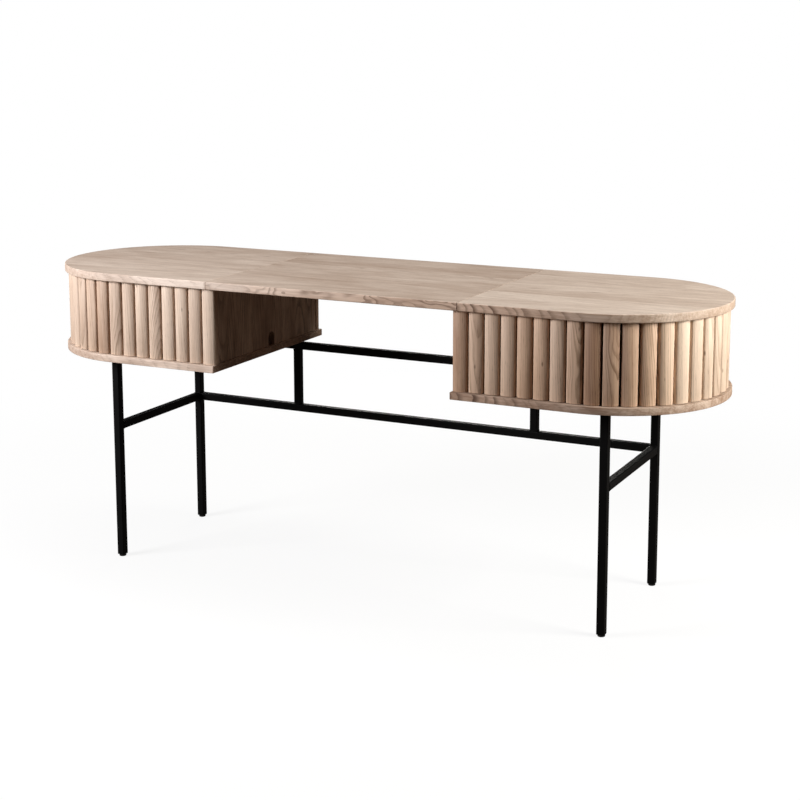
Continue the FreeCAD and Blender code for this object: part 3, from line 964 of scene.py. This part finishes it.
@dataclass
class DeskTop:
    """The top: a middle board and two round-ended boards that meet at tight joints."""

    finishes: Finishes
    track: Track
    fronts: dict[str, Stave]
    rim: Rim
    edge_round: float = 2.5 * MM
    joint_ease: float = 0.3 * MM
    joint_gap: float = 0.5 * MM
    stave_width: float = 92 * MM

    def build(self) -> None:
        """Builds the three boards."""
        self.middle()
        for side, sign in SIDES.items():
            self.end(side, sign)

    def dress(self, name: str, mesh: BMesh) -> None:
        """Lays the grain along the desk and makes the piece.

        Args:
            name: The node that the board stands for.
            mesh: The board, at its place.
        """
        front = self.fronts[name]
        Panel(RIGHT, FRONT, self.stave_width, name, (Sawing.FLAT, Sawing.FLAT, Sawing.RIFT),
              (front.tone - 0.04, front.tone + 0.16), figure=0.3, slope=4.0, front_stave=front).lay(mesh)
        self.rim.lay(mesh)
        make_piece(name, "ash", mesh, [self.finishes.top])

    def middle(self) -> None:
        """Builds the middle board."""
        low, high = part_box("middle_top_board")
        low.x += self.joint_gap
        high.x -= self.joint_gap
        mesh = block(low, high)
        rim = edges_where(mesh, lambda a, b: near(a.z, b.z) and near(a.y, b.y))
        round_over(mesh, rim, self.edge_round, segments=4)
        joints = edges_where(mesh, lambda a, b: near(a.x, b.x) and near(abs(a.x), high.x))
        round_over(mesh, joints, self.joint_ease, segments=1)
        self.dress("middle_top_board", mesh)

    def end(self, side: str, sign: int) -> None:
        """Builds one round-ended board with its groove underneath.

        Args:
            side: Name of the side.
            sign: 1 on the right, -1 on the left.
        """
        name = side + "_top_board"
        low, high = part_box(name)
        straight = high.x - low.x - high.y - self.joint_gap
        mesh = half_stadium(high.y, straight, high.z - low.z, BOARD_SEGMENTS)
        at_joint = both(lambda p: near(p.x, -straight))
        rim = edges_where(mesh, lambda a, b: level_edge(a, b) and not at_joint(a, b))
        round_over(mesh, rim, self.edge_round, segments=4)
        round_over(mesh, edges_where(mesh, at_joint), self.joint_ease, segments=1)
        mesh = carve(mesh, self.track.cutter(-self.track.overcut, self.track.groove_depth))
        move(mesh, self.track.pedestal(sign, low.z))
        self.dress(name, mesh)


@dataclass
class Pedestal:
    """One pedestal's fixed boards: base, inner panel, back panel and end support."""

    finishes: Finishes
    track: Track
    side: str
    sign: int
    base_front: Stave
    base_rim: Rim
    edge_round: float = 1.5 * MM
    ease: float = 0.6 * MM
    notch_width: float = 30 * MM
    notch_height: float = 38 * MM
    notch_y: float = 12 * MM
    notch_segments: int = 48
    notch_overcut: float = 5 * MM
    counterbore: float = 9.4 * MM
    counterbore_depth: float = 4 * MM
    counterbore_segments: int = 24
    screw_rows: tuple[float, ...] = (-170 * MM, -60 * MM, 170 * MM)
    base_stave: float = 92 * MM
    panel_stave: float = 55 * MM
    support_stave: float = 100 * MM

    def build(self) -> None:
        """Builds the boards."""
        self.base()
        self.inner_panel()
        for part, face in (("back_panel", FRONT), ("end_support", RIGHT)):
            name = f"{self.side}_{part}"
            mesh = block(*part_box(name))
            round_over(mesh, mesh.edges[:], self.ease, segments=2)
            Panel(UP, face, self.support_stave, name, (Sawing.FLAT, Sawing.RIFT), (0.1, 0.4),
                  figure=0.6, slope=5.0).lay(mesh)
            self.dress(name, mesh)

    def dress(self, name: str, mesh: BMesh) -> None:
        """Makes a board, with its grain laid, into a piece."""
        make_piece(name, "ash", mesh, [self.finishes.carcass])

    def base(self) -> None:
        """Builds the base board with its groove and its screw recesses."""
        name = self.side + "_base_board"
        low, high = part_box(name)
        thickness = high.z - low.z
        mesh = half_stadium(high.y, high.x - low.x - high.y, thickness, BOARD_SEGMENTS)
        round_over(mesh, edges_where(mesh, level_edge), self.edge_round, segments=3)
        cutter = self.track.cutter(thickness - self.track.groove_depth, thickness + self.track.overcut)
        panel_low, panel_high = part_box(self.side + "_inner_panel")
        middle = abs(panel_low.x + panel_high.x) / 2 - self.track.centre
        for row in self.screw_rows:
            foot = Vector((middle, self.sign * row, -self.counterbore_depth))
            add_mesh(cutter, cylinder(foot, self.counterbore / 2, 2 * self.counterbore_depth,
                                      self.counterbore_segments))
        mesh = carve(mesh, cutter)
        move(mesh, self.track.pedestal(self.sign, low.z))
        tone = self.base_front.tone
        Panel(RIGHT, FRONT, self.base_stave, name, (Sawing.FLAT, Sawing.FLAT, Sawing.RIFT),
              (tone - 0.1, tone + 0.1), figure=0.5, slope=6.0, front_stave=self.base_front).lay(mesh)
        self.base_rim.lay(mesh)
        self.dress(name, mesh)

    def inner_panel(self) -> None:
        """Builds the panel beside the knees with its arched cable notch."""
        name = self.side + "_inner_panel"
        low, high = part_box(name)
        mesh = block(low, high)
        round_over(mesh, mesh.edges[:], self.ease, segments=2)
        radius = self.notch_width / 2
        reach = self.notch_overcut
        rise = self.notch_height - radius
        arch = half_stadium(radius, rise + reach, high.x - low.x + 2 * reach, self.notch_segments)
        stand = Matrix.Translation((high.x + reach, self.notch_y, low.z + rise))
        move(arch, stand @ Matrix.Rotation(-math.pi / 2, 4, "Y"))
        bmesh.ops.recalc_face_normals(arch, faces=arch.faces[:])
        mesh = carve(mesh, arch)
        # the panel's staves are browner than the other boards': partly its wood, partly painted shade for its
        # place in the knee space under the top
        Panel(UP, -self.sign * RIGHT, self.panel_stave, name, (Sawing.RIFT, Sawing.QUARTER, Sawing.FLAT),
              (0.5, 0.8), figure=0.55, slope=4.0).lay(mesh)
        self.dress(name, mesh)


@dataclass(frozen=True)
class Figure:
    """How one slat looks: its sawing, how brown it is, its figure's strength, slant and waves, its warmth."""

    sawing: Sawing
    tone: float
    strength: float = 0.25
    slope: float = 2.0
    bend: float = 1.0
    blush: float = 0.0


@dataclass
class TambourDoor:
    """One tambour door: crowned slats on a cloth backing, and the two fixed stiles beside it."""

    finishes: Finishes
    track: Track
    side: str
    sign: int
    picked: dict[int, Figure]
    plain_tones: tuple[float, float]
    plain_strengths: tuple[float, float] = (0.15, 0.5)
    plain_slopes: tuple[float, float] = (-3.0, 3.0)
    piths_mm: tuple[float, float] = (85, 140)
    width: float = 36.9 * MM
    edge: float = 14.4 * MM
    shoulder: float = 6 * MM
    shoulder_steps: int = 6
    crown_steps: int = 18
    thickness: float = 20 * MM
    height: float = 187.5 * MM
    gap_below: float = 1 * MM
    pin: float = 5 * MM
    pin_inset: float = 3.5 * MM
    pin_below: float = 7.7 * MM
    pin_above: float = 5 * MM
    pin_segments: int = 20
    end_ease: float = 0.8 * MM
    cloth: float = 0.8 * MM
    cloth_margin: float = 2 * MM
    cloth_hem: float = 6 * MM
    cloth_lap: float = 1.25 * MM
    cloth_steps: int = 52
    cloth_cuts: int = 9
    # how far in front of a slat's back the painted shade on its sides starts, and where it is full
    side_shade_start: float = 14.5 * MM
    side_shade_full: float = 11 * MM
    slats: range = range(26)
    round_run: range = range(7, 20)
    stile_x: float = 339.4 * MM
    low: float = field(init=False)
    high: float = field(init=False)

    def __post_init__(self) -> None:
        """Reads the cabinet's floor and ceiling from the inner panel."""
        self.low, self.high = (corner.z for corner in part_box(self.side + "_inner_panel"))

    def build(self) -> None:
        """Builds the slats, the stiles and the cloth."""
        for index in (i for i in self.slats if i not in self.round_run):
            node = f"{self.side}_slat_{index + 1:02d}" if index else f"{self.side}_lead_slat"
            body = f"{self.side}_door_{index + 1:02d}" if index else f"{self.side}_door_lead"
            mesh = self.slat(index, backed=True)
            make_piece(node, "ash", mesh, [self.finishes.slat, self.finishes.cloth], body)
        self.rigid_run()
        self.stiles()
        self.backing()

    def figure(self, index: int) -> Figure:
        """Picks a slat's look, from the listed ones or at random.

        Args:
            index: Number of the slat. Stiles come after the last one.

        Returns:
            The look.
        """
        rng = random.Random(f"{self.side}figure{index}")
        sawing = rng.choice((Sawing.FLAT, Sawing.RIFT, Sawing.QUARTER, Sawing.QUARTER))
        spans = (self.plain_tones, self.plain_strengths, self.plain_slopes)
        return self.picked.get(index, Figure(sawing, *(rng.uniform(*span) for span in spans)))

    def profile(self, height: float) -> BMesh:
        """Makes a slat's wood: a low crown with rounded shoulders on a square back, and eased ends.

        Args:
            height: Its length.

        Returns:
            The mesh, with its back on Y = 0 and its lower end on Z = 0.
        """
        rise = self.thickness - self.edge
        crown = ((self.width / 2) ** 2 + rise ** 2) / (2 * rise)
        inner = self.width / 2 - self.shoulder
        spread = math.asin(inner / (crown - self.shoulder))
        crest = Vector((0, crown - self.thickness, 0))
        level = crest.y - (crown - self.shoulder) * math.cos(spread)
        shoulder = (math.pi / 2 - spread, self.shoulder_steps)
        mesh = bmesh.new()
        first = mesh.verts.new((-self.width / 2, 0, 0))
        last = bmesh.ops.extrude_vert_indiv(mesh, verts=[first])["verts"][0]
        last.co.y = level
        for centre, (angle, steps) in ((Vector((-inner, level, 0)), shoulder),
                                       (crest, (2 * spread, self.crown_steps)),
                                       (Vector((inner, level, 0)), shoulder)):
            turned = bmesh.ops.spin(mesh, geom=[last], cent=centre, axis=UP, angle=angle, steps=steps)
            last = turned["geom_last"][0]
        foot = bmesh.ops.extrude_vert_indiv(mesh, verts=[last])["verts"][0]
        foot.co.y = 0
        bmesh.ops.contextual_create(mesh, geom=mesh.verts[:] + mesh.edges[:])
        raise_face(mesh, height)
        round_over(mesh, edges_where(mesh, level_edge), self.end_ease, segments=2)
        return mesh

    def slat(self, index: int, backed: bool) -> BMesh:
        """Makes a moving slat at its place, with its guide pins.

        Args:
            index: Number of the slat.
            backed: Whether it carries its own strip of the backing.

        Returns:
            The mesh.
        """
        mesh = self.profile(self.height)
        for low, length in ((-self.pin_below, self.pin_below), (self.height, self.pin_above)):
            foot = Vector((0, -self.pin_inset, low))
            cylinder(foot, self.pin / 2, length, self.pin_segments, mesh)
        self.lay(mesh, index)
        if backed:
            weave = mesh.loops.layers.float_vector.new("weave")
            half = self.width / 2 + self.cloth_lap
            low = self.cloth_margin - self.gap_below
            count = len(mesh.faces)
            add_mesh(mesh, block(Vector((-half, 0, low)), Vector((half, self.cloth, self.height - low))))
            mesh.faces.ensure_lookup_table()
            # known fault: new faces don't all come last in this list, so some of these belong to the pins,
            # and most of the strip shows the wood
            for face in mesh.faces[count:]:
                face.material_index = 1
            for loop in corners(mesh.faces[count:]):
                loop[weave] = (loop.vert.co.x, loop.vert.co.z, 0)
        move(mesh, self.track.place(index, self.sign, self.low + self.gap_below))
        return mesh

    def lay(self, mesh: BMesh, index: int) -> None:
        """Lays the grain of one slat, along its height.

        Args:
            mesh: The slat in its own space.
            index: Number of the slat.
        """
        look = self.figure(index)
        rng = random.Random(f"{self.side}grain{index}")
        stave = Stave(UP, FRONT, look.sawing.turn(rng), look.tone, look.strength, f"{self.side}{index}",
                      rng.uniform(*self.piths_mm) * MM, look.slope, look.bend, look.blush)
        stave.lay(mesh, mesh.faces[:], Vector((0, -self.thickness / 2, self.height / 2)))
        # slats on the straight runs get painted shade on their sides, down in the gaps
        if index not in self.round_run:
            self.paint_shade_on_sides(mesh, look.tone)

    def paint_shade_on_sides(self, mesh: BMesh, tone: float) -> None:
        """Paints shade on the sides of a slat on a straight run: its tone turns browner deeper into the
        narrow gap between slats.

        Args:
            mesh: The slat in its own space, with its grain laid.
            tone: How brown its face is.
        """
        layer = mesh.loops.layers.float["tone"]
        for loop in corners(mesh.faces):
            # the tone goes to full brown deeper into the gap: painted shade
            share = (self.side_shade_start + loop.vert.co.y) / (self.side_shade_start - self.side_shade_full)
            loop[layer] = tone + (1 - tone) * min(max(share, 0), 1)

    def rigid_run(self) -> None:
        """Builds the slats that stay on the round end, as one piece."""
        whole = bmesh.new()
        for index in self.round_run:
            add_mesh(whole, self.slat(index, backed=False))
        make_piece(self.side + "_end_slats", "ash", whole, [self.finishes.slat],
                   self.side + "_door_ends")

    def stiles(self) -> None:
        """Builds the fixed stiles at the front and back edge of the inner panel."""
        for number, (end, way) in enumerate((("front", 0), ("back", math.pi))):
            mesh = self.profile(self.high - self.low)
            self.lay(mesh, self.slats.stop + number)
            spot = Vector((self.sign * self.stile_x, -self.track.radius * math.cos(way), self.low))
            move(mesh, Matrix.Translation(spot) @ Matrix.Rotation(way, 4, "Z"))
            make_piece(f"{self.side}_{end}_stile", "ash", mesh, [self.finishes.slat])

    def backing(self) -> None:
        """Builds the cloth behind the slats of the round end."""
        radius = self.track.radius
        start = (self.round_run.start - 0.5) * self.track.pitch - self.track.lead + self.cloth_hem
        length = len(self.round_run) * self.track.pitch - 2 * self.cloth_hem
        low = self.low + self.cloth_margin
        tall = self.high - self.low - 2 * self.cloth_margin
        mesh = bmesh.new()
        foot = mesh.verts.new((0, -radius, low))
        head = mesh.verts.new((0, -radius, low + tall))
        line = mesh.edges.new((foot, head))
        move(mesh, Matrix.Rotation(start / radius, 4, "Z"))
        bmesh.ops.spin(mesh, geom=[foot, head, line], cent=Vector(), axis=UP, angle=length / radius,
                       steps=self.cloth_steps)
        upright = edges_where(mesh, lambda a, b: not level_edge(a, b))
        bmesh.ops.subdivide_edges(mesh, edges=upright, cuts=self.cloth_cuts, use_grid_fill=True)
        weave = mesh.loops.layers.float_vector.new("weave")
        for loop in corners(mesh.faces):
            point = loop.vert.co
            loop[weave] = (math.atan2(point.x, -point.y) * radius, point.z, 0)
        if self.sign < 0:
            bmesh.ops.scale(mesh, vec=Vector((-1, 1, 1)), verts=mesh.verts[:])
        bmesh.ops.recalc_face_normals(mesh, faces=mesh.faces[:])
        bmesh.ops.solidify(mesh, geom=mesh.faces[:], thickness=self.cloth)
        move(mesh, Matrix.Translation(self.sign * self.track.centre * RIGHT))
        piece = make_piece(self.side + "_door_canvas", "cloth", mesh, [self.finishes.cloth],
                           self.side + "_door_ends")


class Run(Enum):
    """Which way a tube runs, as the number of its axis."""

    ALONG = 0
    ACROSS = 1
    UPRIGHT = 2


@dataclass
class SteelFrame:
    """The welded frame: square tubes with rounded corners, glides, plates and screws."""

    finishes: Finishes
    corner: float = 2.5 * MM
    bead: float = 0.7 * MM
    bead_length: float = 3 * MM
    glide_round: float = 2.2 * MM
    glide_segments: int = 40
    rail_plate_x: float = 380 * MM
    plate_offset: float = 26 * MM
    screw_head: float = 8 * MM
    screw_rise: float = 2.5 * MM
    screw_round: float = 0.9 * MM
    screw_segments: int = 24
    socket_radius: float = 2.3 * MM
    socket_depth: float = 1.5 * MM
    socket_sides: int = 6

    def build(self) -> None:
        """Builds the tubes, the glides and the screws, and dresses the nodes that keep their own mesh."""
        runs = {Run.UPRIGHT: LEGS + [side + "_rail_post" for side in SIDES],
                Run.ACROSS: [side + "_side_stretcher" for side in SIDES],
                Run.ALONG: ["back_stretcher", "upper_back_rail"]}
        for run, names in runs.items():
            for name in names:
                self.tube(name, run.value)
        self.glides()
        self.screws()
        for name, material in (("mounting_plates", self.finishes.steel), ("panel_screws", self.finishes.zinc),
                               ("top_dowels", self.finishes.beech)):
            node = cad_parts[name]
            node.data.materials.clear()
            node.data.materials.append(material)

    def tube(self, name: str, axis: int) -> None:
        """Builds one tube with a weld bead at each end that meets another tube.

        Args:
            name: The node that it stands for.
            axis: The axis that it runs along, 0 to 2.
        """
        low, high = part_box(name)
        mesh = self.rounded_bar(low, high, axis, self.corner)
        if name not in LEGS:
            swell = self.bead * Vector((1, 1, 1))
            for end in (low[axis], high[axis] - self.bead_length):
                bead_low, bead_high = low - swell, high + swell
                bead_low[axis] = end
                bead_high[axis] = end + self.bead_length
                bead = self.rounded_bar(bead_low, bead_high, axis, self.corner + self.bead)
                rim = edges_where(bead, lambda a, b: near(a[axis], b[axis]))
                round_over(bead, rim, self.bead, segments=2)
                add_mesh(mesh, bead)
        make_piece(name, "coated", mesh, [self.finishes.steel])

    def rounded_bar(self, low: Vector, high: Vector, axis: int, corner: float) -> BMesh:
        """Makes a bar with its long edges rounded.

        Args:
            low: Its lowest corner.
            high: Its highest corner.
            axis: The axis that it runs along.
            corner: Radius of its long edges.

        Returns:
            The mesh.
        """
        mesh = block(low, high)
        length = high[axis] - low[axis]
        edges = edges_where(mesh, lambda a, b: near(abs(a[axis] - b[axis]), length))
        round_over(mesh, edges, corner, segments=4)
        return mesh

    def glides(self) -> None:
        """Builds the domed glides under the legs, as one piece."""
        low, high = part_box("foot_glides")
        overhang = high.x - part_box("right_front_leg")[1].x
        whole = bmesh.new()
        for leg_low, leg_high in map(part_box, LEGS):
            spot = (leg_low + leg_high) / 2
            spot.z = low.z
            radius = overhang + (leg_high.x - leg_low.x) / 2
            foot = cylinder(spot, radius, leg_low.z - low.z, self.glide_segments)
            rim = edges_where(foot, both(lambda p: near(p.z, low.z)))
            round_over(foot, rim, self.glide_round, segments=5)
            add_mesh(whole, foot)
        make_piece("foot_glides", "moulded", whole, [self.finishes.plastic])

    def screws(self) -> None:
        """Builds the pan-head screws under the mounting plates, each with a hexagon socket."""
        low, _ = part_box("plate_screws")
        spots = [(a + b) / 2 for a, b in map(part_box, LEGS)]
        spots += [Vector((sign * self.rail_plate_x, spots[-1].y, 0)) for sign in SIDES.values()]
        offsets = (-self.plate_offset, self.plate_offset)
        whole = bmesh.new()
        for spot in spots:
            for x, y in ((x, y) for x in offsets for y in offsets):
                head = self.screw()
                move(head, Matrix.Translation((spot.x + x, spot.y + y, low.z)))
                add_mesh(whole, head)
        make_piece("plate_screws", "zinc", whole, [self.finishes.zinc])

    def screw(self) -> BMesh:
        """Makes one screw head, with its socket on Z = 0 and its seat above.

        Returns:
            The mesh.
        """
        mesh = cylinder(Vector(), self.screw_head / 2, self.screw_rise, self.screw_segments)
        round_over(mesh, edges_where(mesh, both(lambda p: near(p.z, 0))), self.screw_round, segments=3)
        socket = cylinder(-self.socket_depth * UP, self.socket_radius, 2 * self.socket_depth,
                          self.socket_sides)
        return carve(mesh, socket)


@dataclass(frozen=True)
class SoftBox:
    """A soft box: where it stands, the point that it faces, its width and height, power and colour."""

    name: str
    spot: Vector
    aim: Vector
    size: tuple[float, float]
    watts: float
    colour: str

    def build(self) -> None:
        """Adds the lamp."""
        data = bpy.data.lights.new(self.name, "AREA")
        data.shape = "RECTANGLE"
        data.size, data.size_y = self.size
        data.energy = self.watts
        data.color = linear(self.colour)[:3]
        lamp = add_object(self.name, data)
        lamp.location = self.spot
        lamp.rotation_euler = (self.aim - self.spot).to_track_quat("-Z", "Y").to_euler()


@dataclass
class Studio:
    """Floor, light and camera. Angles are in degrees, and the image's sizes in pixels."""

    lamps: Sequence[SoftBox]
    eye: Vector = Vector((1839.775, -3584.405, 1407.139)) * MM
    yaw: float = 24.819
    pitch: float = -9.488
    roll: float = 0.172
    focal_px: float = 1626.369
    image_px: float = 800.0
    centre_px: tuple[float, float] = (445.42, 289.607)
    sensor: float = 36.0
    gloss_share: float = 0.07
    world_light: float = 0.025
    white: str = "#FFFFFF"
    floor_radius: float = 14.0
    floor_segments: int = 64
    floor_pale: str = "#F4F3F1"
    floor_bounce: str = "#54483E"
    fade_reach: tuple[float, float] = (0.8, 2.4)
    fade_share: tuple[float, float] = (0.87, 1.0)

    def build(self) -> None:
        """Sets up the camera, the lamps, the world and the floor."""
        self.camera()
        for lamp in self.lamps:
            lamp.build()
        self.world()
        self.floor()
        bpy.context.scene.view_settings.view_transform = "Standard"

    def camera(self) -> None:
        """Places the camera where the photograph was taken from."""
        data = bpy.data.cameras.new("camera")
        data.sensor_width = self.sensor
        data.lens = self.focal_px * self.sensor / self.image_px
        data.shift_x = 0.5 - self.centre_px[0] / self.image_px
        data.shift_y = self.centre_px[1] / self.image_px - 0.5
        turn = Matrix.Rotation(math.radians(self.yaw), 4, "Z")
        tip = Matrix.Rotation(math.radians(90 + self.pitch), 4, "X")
        lean = Matrix.Rotation(math.radians(self.roll), 4, "Z")
        camera = add_object("camera", data)
        camera.matrix_world = Matrix.Translation(self.eye) @ turn @ tip @ lean
        bpy.context.scene.camera = camera

    def seen(self, add: Adder) -> Socket:
        """Tells how far a ray shows the white surroundings: fully to the eye, dimly in a gloss.

        Args:
            add: Adds a node.

        Returns:
            A share from 0 to 1.
        """
        path = add("LightPath").node.outputs
        gloss = add("Math", {0: path["Is Glossy Ray"], 1: self.gloss_share}, operation="MULTIPLY")
        clear = add("Math", {0: path["Is Camera Ray"], 1: path["Is Transmission Ray"]}, operation="MAXIMUM")
        return add("Math", {0: clear, 1: gloss}, operation="MAXIMUM")

    def world(self) -> None:
        """Makes the surroundings white to the eye and a dim grey as light."""
        world = bpy.data.worlds.new("studio")
        add = start_nodes(world)
        strength = add("MapRange", {"Value": self.seen(add), "To Min": self.world_light, "To Max": 1.0})
        light = add("Background", {"Color": linear(self.white), "Strength": strength})
        add("OutputWorld", {"Surface": light})
        bpy.context.scene.world = world

    def floor(self) -> None:
        """Lays a pale floor that keeps a faint shadow and fades to white away from the desk."""
        mesh = bmesh.new()
        bmesh.ops.create_circle(mesh, cap_ends=True, segments=self.floor_segments, radius=self.floor_radius)
        floor = add_object("floor", store("floor", mesh))
        material = bpy.data.materials.new("pale_floor")
        add = start_nodes(material)
        away = add("VectorMath", {0: add("TexCoord", out="Object")}, "Value", operation="LENGTH")
        start, end = self.fade_reach
        faint, full = self.fade_share
        fade = add("MapRange", {
            "Value": away, "From Min": start, "From Max": end, "To Min": faint, "To Max": full},
            interpolation_type="SMOOTHSTEP")
        pale = add("BsdfDiffuse", {"Color": linear(self.floor_pale)})
        white = add("Emission", {"Color": linear(self.white), "Strength": 1.0})
        shown = add("MixShader", {0: fade, 1: pale, 2: white})
        dim = add("BsdfDiffuse", {"Color": linear(self.floor_bounce)})
        add("OutputMaterial", {"Surface": add("MixShader", {0: self.seen(add), 1: dim, 2: shown})})
        floor.data.materials.append(material)


# the key from the left, a light on the right end, one overhead and a low one behind
LAMPS = (
    SoftBox("key", Vector((-2.05, -2.0, 1.6)), Vector((-0.4, -0.2, 0.65)), (1.1, 1.1), 104, "#FDFCFF"),
    SoftBox("end_light", Vector((2.8, 0.05, 1.45)), Vector((0.85, 0, 0.65)), (1.0, 1.1), 92, "#FFFDF6"),
    SoftBox("overhead", Vector((-0.1, 0.3, 3.0)), Vector((0, 0, 0.7)), (2.2, 0.6), 22, "#FFFFFF"),
    SoftBox("back_fill", Vector((-1.2, 2.9, 0.5)), Vector((0, 0.25, 0.58)), (1.5, 0.5), 46, "#FFFAF5"),
)
# slats that the camera sees, by number from the leading edge, and the front stile after the last slat
SLAT_FIGURES = {
    "left": {
        0: Figure(Sawing.QUARTER, 0.28, 0.45),
        1: Figure(Sawing.RIFT, 0.2, 0.2),
        2: Figure(Sawing.QUARTER, 0.1, 0.15),
        3: Figure(Sawing.SKEW, 0.5, 0.6, -7.5, 1.4),
        4: Figure(Sawing.QUARTER, 0.35, 0.3),
        5: Figure(Sawing.RIFT, 0.4, 0.4),
        6: Figure(Sawing.SKEW, 0.5, 0.6, -4.0, 3.0),
        7: Figure(Sawing.QUARTER, 0.68, blush=0.2),
        8: Figure(Sawing.RIFT, 0.5, blush=0.2),
        26: Figure(Sawing.QUARTER, 0.2),
    },
    "right": {
        0: Figure(Sawing.FLAT, 0.22, 0.6, 1.4, 2.0, blush=0.65),
        1: Figure(Sawing.QUARTER, 0.1, 0.3, blush=0.55),
        2: Figure(Sawing.QUARTER, 0.1, blush=0.6),
        3: Figure(Sawing.QUARTER, 0.3, blush=1.0),
        4: Figure(Sawing.RIFT, 0.25, blush=1.0),
        5: Figure(Sawing.RIFT, 0.1, 0.3, blush=0.55),
        6: Figure(Sawing.SKEW, 0.2, 0.7, 1.2, 3.4, blush=0.8),
        7: Figure(Sawing.QUARTER, 1.0, 0.7, blush=0.8),
        8: Figure(Sawing.SKEW, 0.72, 0.8, 2.5, 3.0, blush=0.7),
        9: Figure(Sawing.QUARTER, 0.55, 0.3, blush=0.8),
        10: Figure(Sawing.RIFT, 0.3, 0.6, 4.0, blush=0.8),
        11: Figure(Sawing.QUARTER, 0.1, 0.7, blush=0.5),
        12: Figure(Sawing.QUARTER, 0.05, blush=0.1),
        26: Figure(Sawing.QUARTER, 0.62, blush=0.9),
    },
}
PLAIN_TONES = {"left": (0.22, 0.55), "right": (0.0, 0.35)}
TOP_FRONTS = {
    "left_top_board": Stave(RIGHT, FRONT, -6.0, 0.4, 0.3, "left_front", 80 * MM, 6.0, 1.4),
    "middle_top_board": Stave(RIGHT, FRONT, -6.0, 0.55, 0.3, "middle_front", 80 * MM, 3.4, 3.6),
    "right_top_board": Stave(RIGHT, FRONT, -7.0, 0.32, 0.3, "right_front", 82 * MM, 8.4, 1.0),
}
TOP_RIM = Rim((
    RimStop(-0.9, 0.12, 0.62), RimStop(-0.84, 0.12, 0.5), RimStop(-0.66, 0.15, 0.62),
    RimStop(-0.56, 0.2, 0.48), RimStop(-0.5, 0.15, 0.1), RimStop(-0.345, 0.1, 0.0),
    RimStop(-0.336, 0.5, 0.48), RimStop(-0.315, 0.05, 0.34), RimStop(-0.24, 0.05, 0.3),
    RimStop(-0.2, 0.8, 0.36, 0.4), RimStop(0.0, 0.7, 0.46, 0.5), RimStop(0.1, 0.9, 0.49, 0.7),
    RimStop(0.5, 1.0, 0.46, 0.9), RimStop(0.6, 0.5, 0.64, 0.6), RimStop(0.66, 0.3, 0.82, 0.3),
    RimStop(0.74, 0.2, 0.84), RimStop(0.82, 0.15, 0.68), RimStop(0.9, 0.1, 0.8)))
BASE_FRONTS = {
    "left": Stave(RIGHT, FRONT, -6.0, 0.25, 0.3, "left_base", 80 * MM, 5.0, 1.4),
    "right": Stave(RIGHT, FRONT, -7.0, 0.7, 0.3, "right_base", 70 * MM, 9.0, 1.4),
}
# the stops at x = ±0.3195 fall on the base's inner end face beside the knees: the brown tone there is painted
# shade
BASE_RIMS = {
    "left": Rim((
        RimStop(-0.9, 0.08, 0.56), RimStop(-0.8, 0.1, 0.58), RimStop(-0.7, 0.1, 0.4),
        RimStop(-0.62, 0.12, 0.34), RimStop(-0.5, 0.12, 0.26), RimStop(-0.324, 0.12, 0.28),
        RimStop(-0.3195, 0.4, 0.95))),
    "right": Rim((
        RimStop(0.3195, 0.4, 0.95, 0.7), RimStop(0.324, 1.0, 0.62, 0.7), RimStop(0.42, 0.85, 0.58, 0.7),
        RimStop(0.52, 0.45, 0.62, 0.6), RimStop(0.6, 0.2, 0.76, 0.3), RimStop(0.72, 0.12, 0.84),
        RimStop(0.8, 0.1, 0.68), RimStop(0.9, 0.08, 0.74))),
}


def main() -> None:
    """Builds the desk."""
    logging.basicConfig(level=logging.INFO, format="%(message)s")
    finishes = Finishes()
    track = Track()
    Studio(LAMPS).build()
    DeskTop(finishes, track, TOP_FRONTS, TOP_RIM).build()
    for side, sign in SIDES.items():
        Pedestal(finishes, track, side, sign, BASE_FRONTS[side], BASE_RIMS[side]).build()
        TambourDoor(finishes, track, side, sign, SLAT_FIGURES[side], PLAIN_TONES[side]).build()
    SteelFrame(finishes).build()


if __name__ == "__main__":
    main()
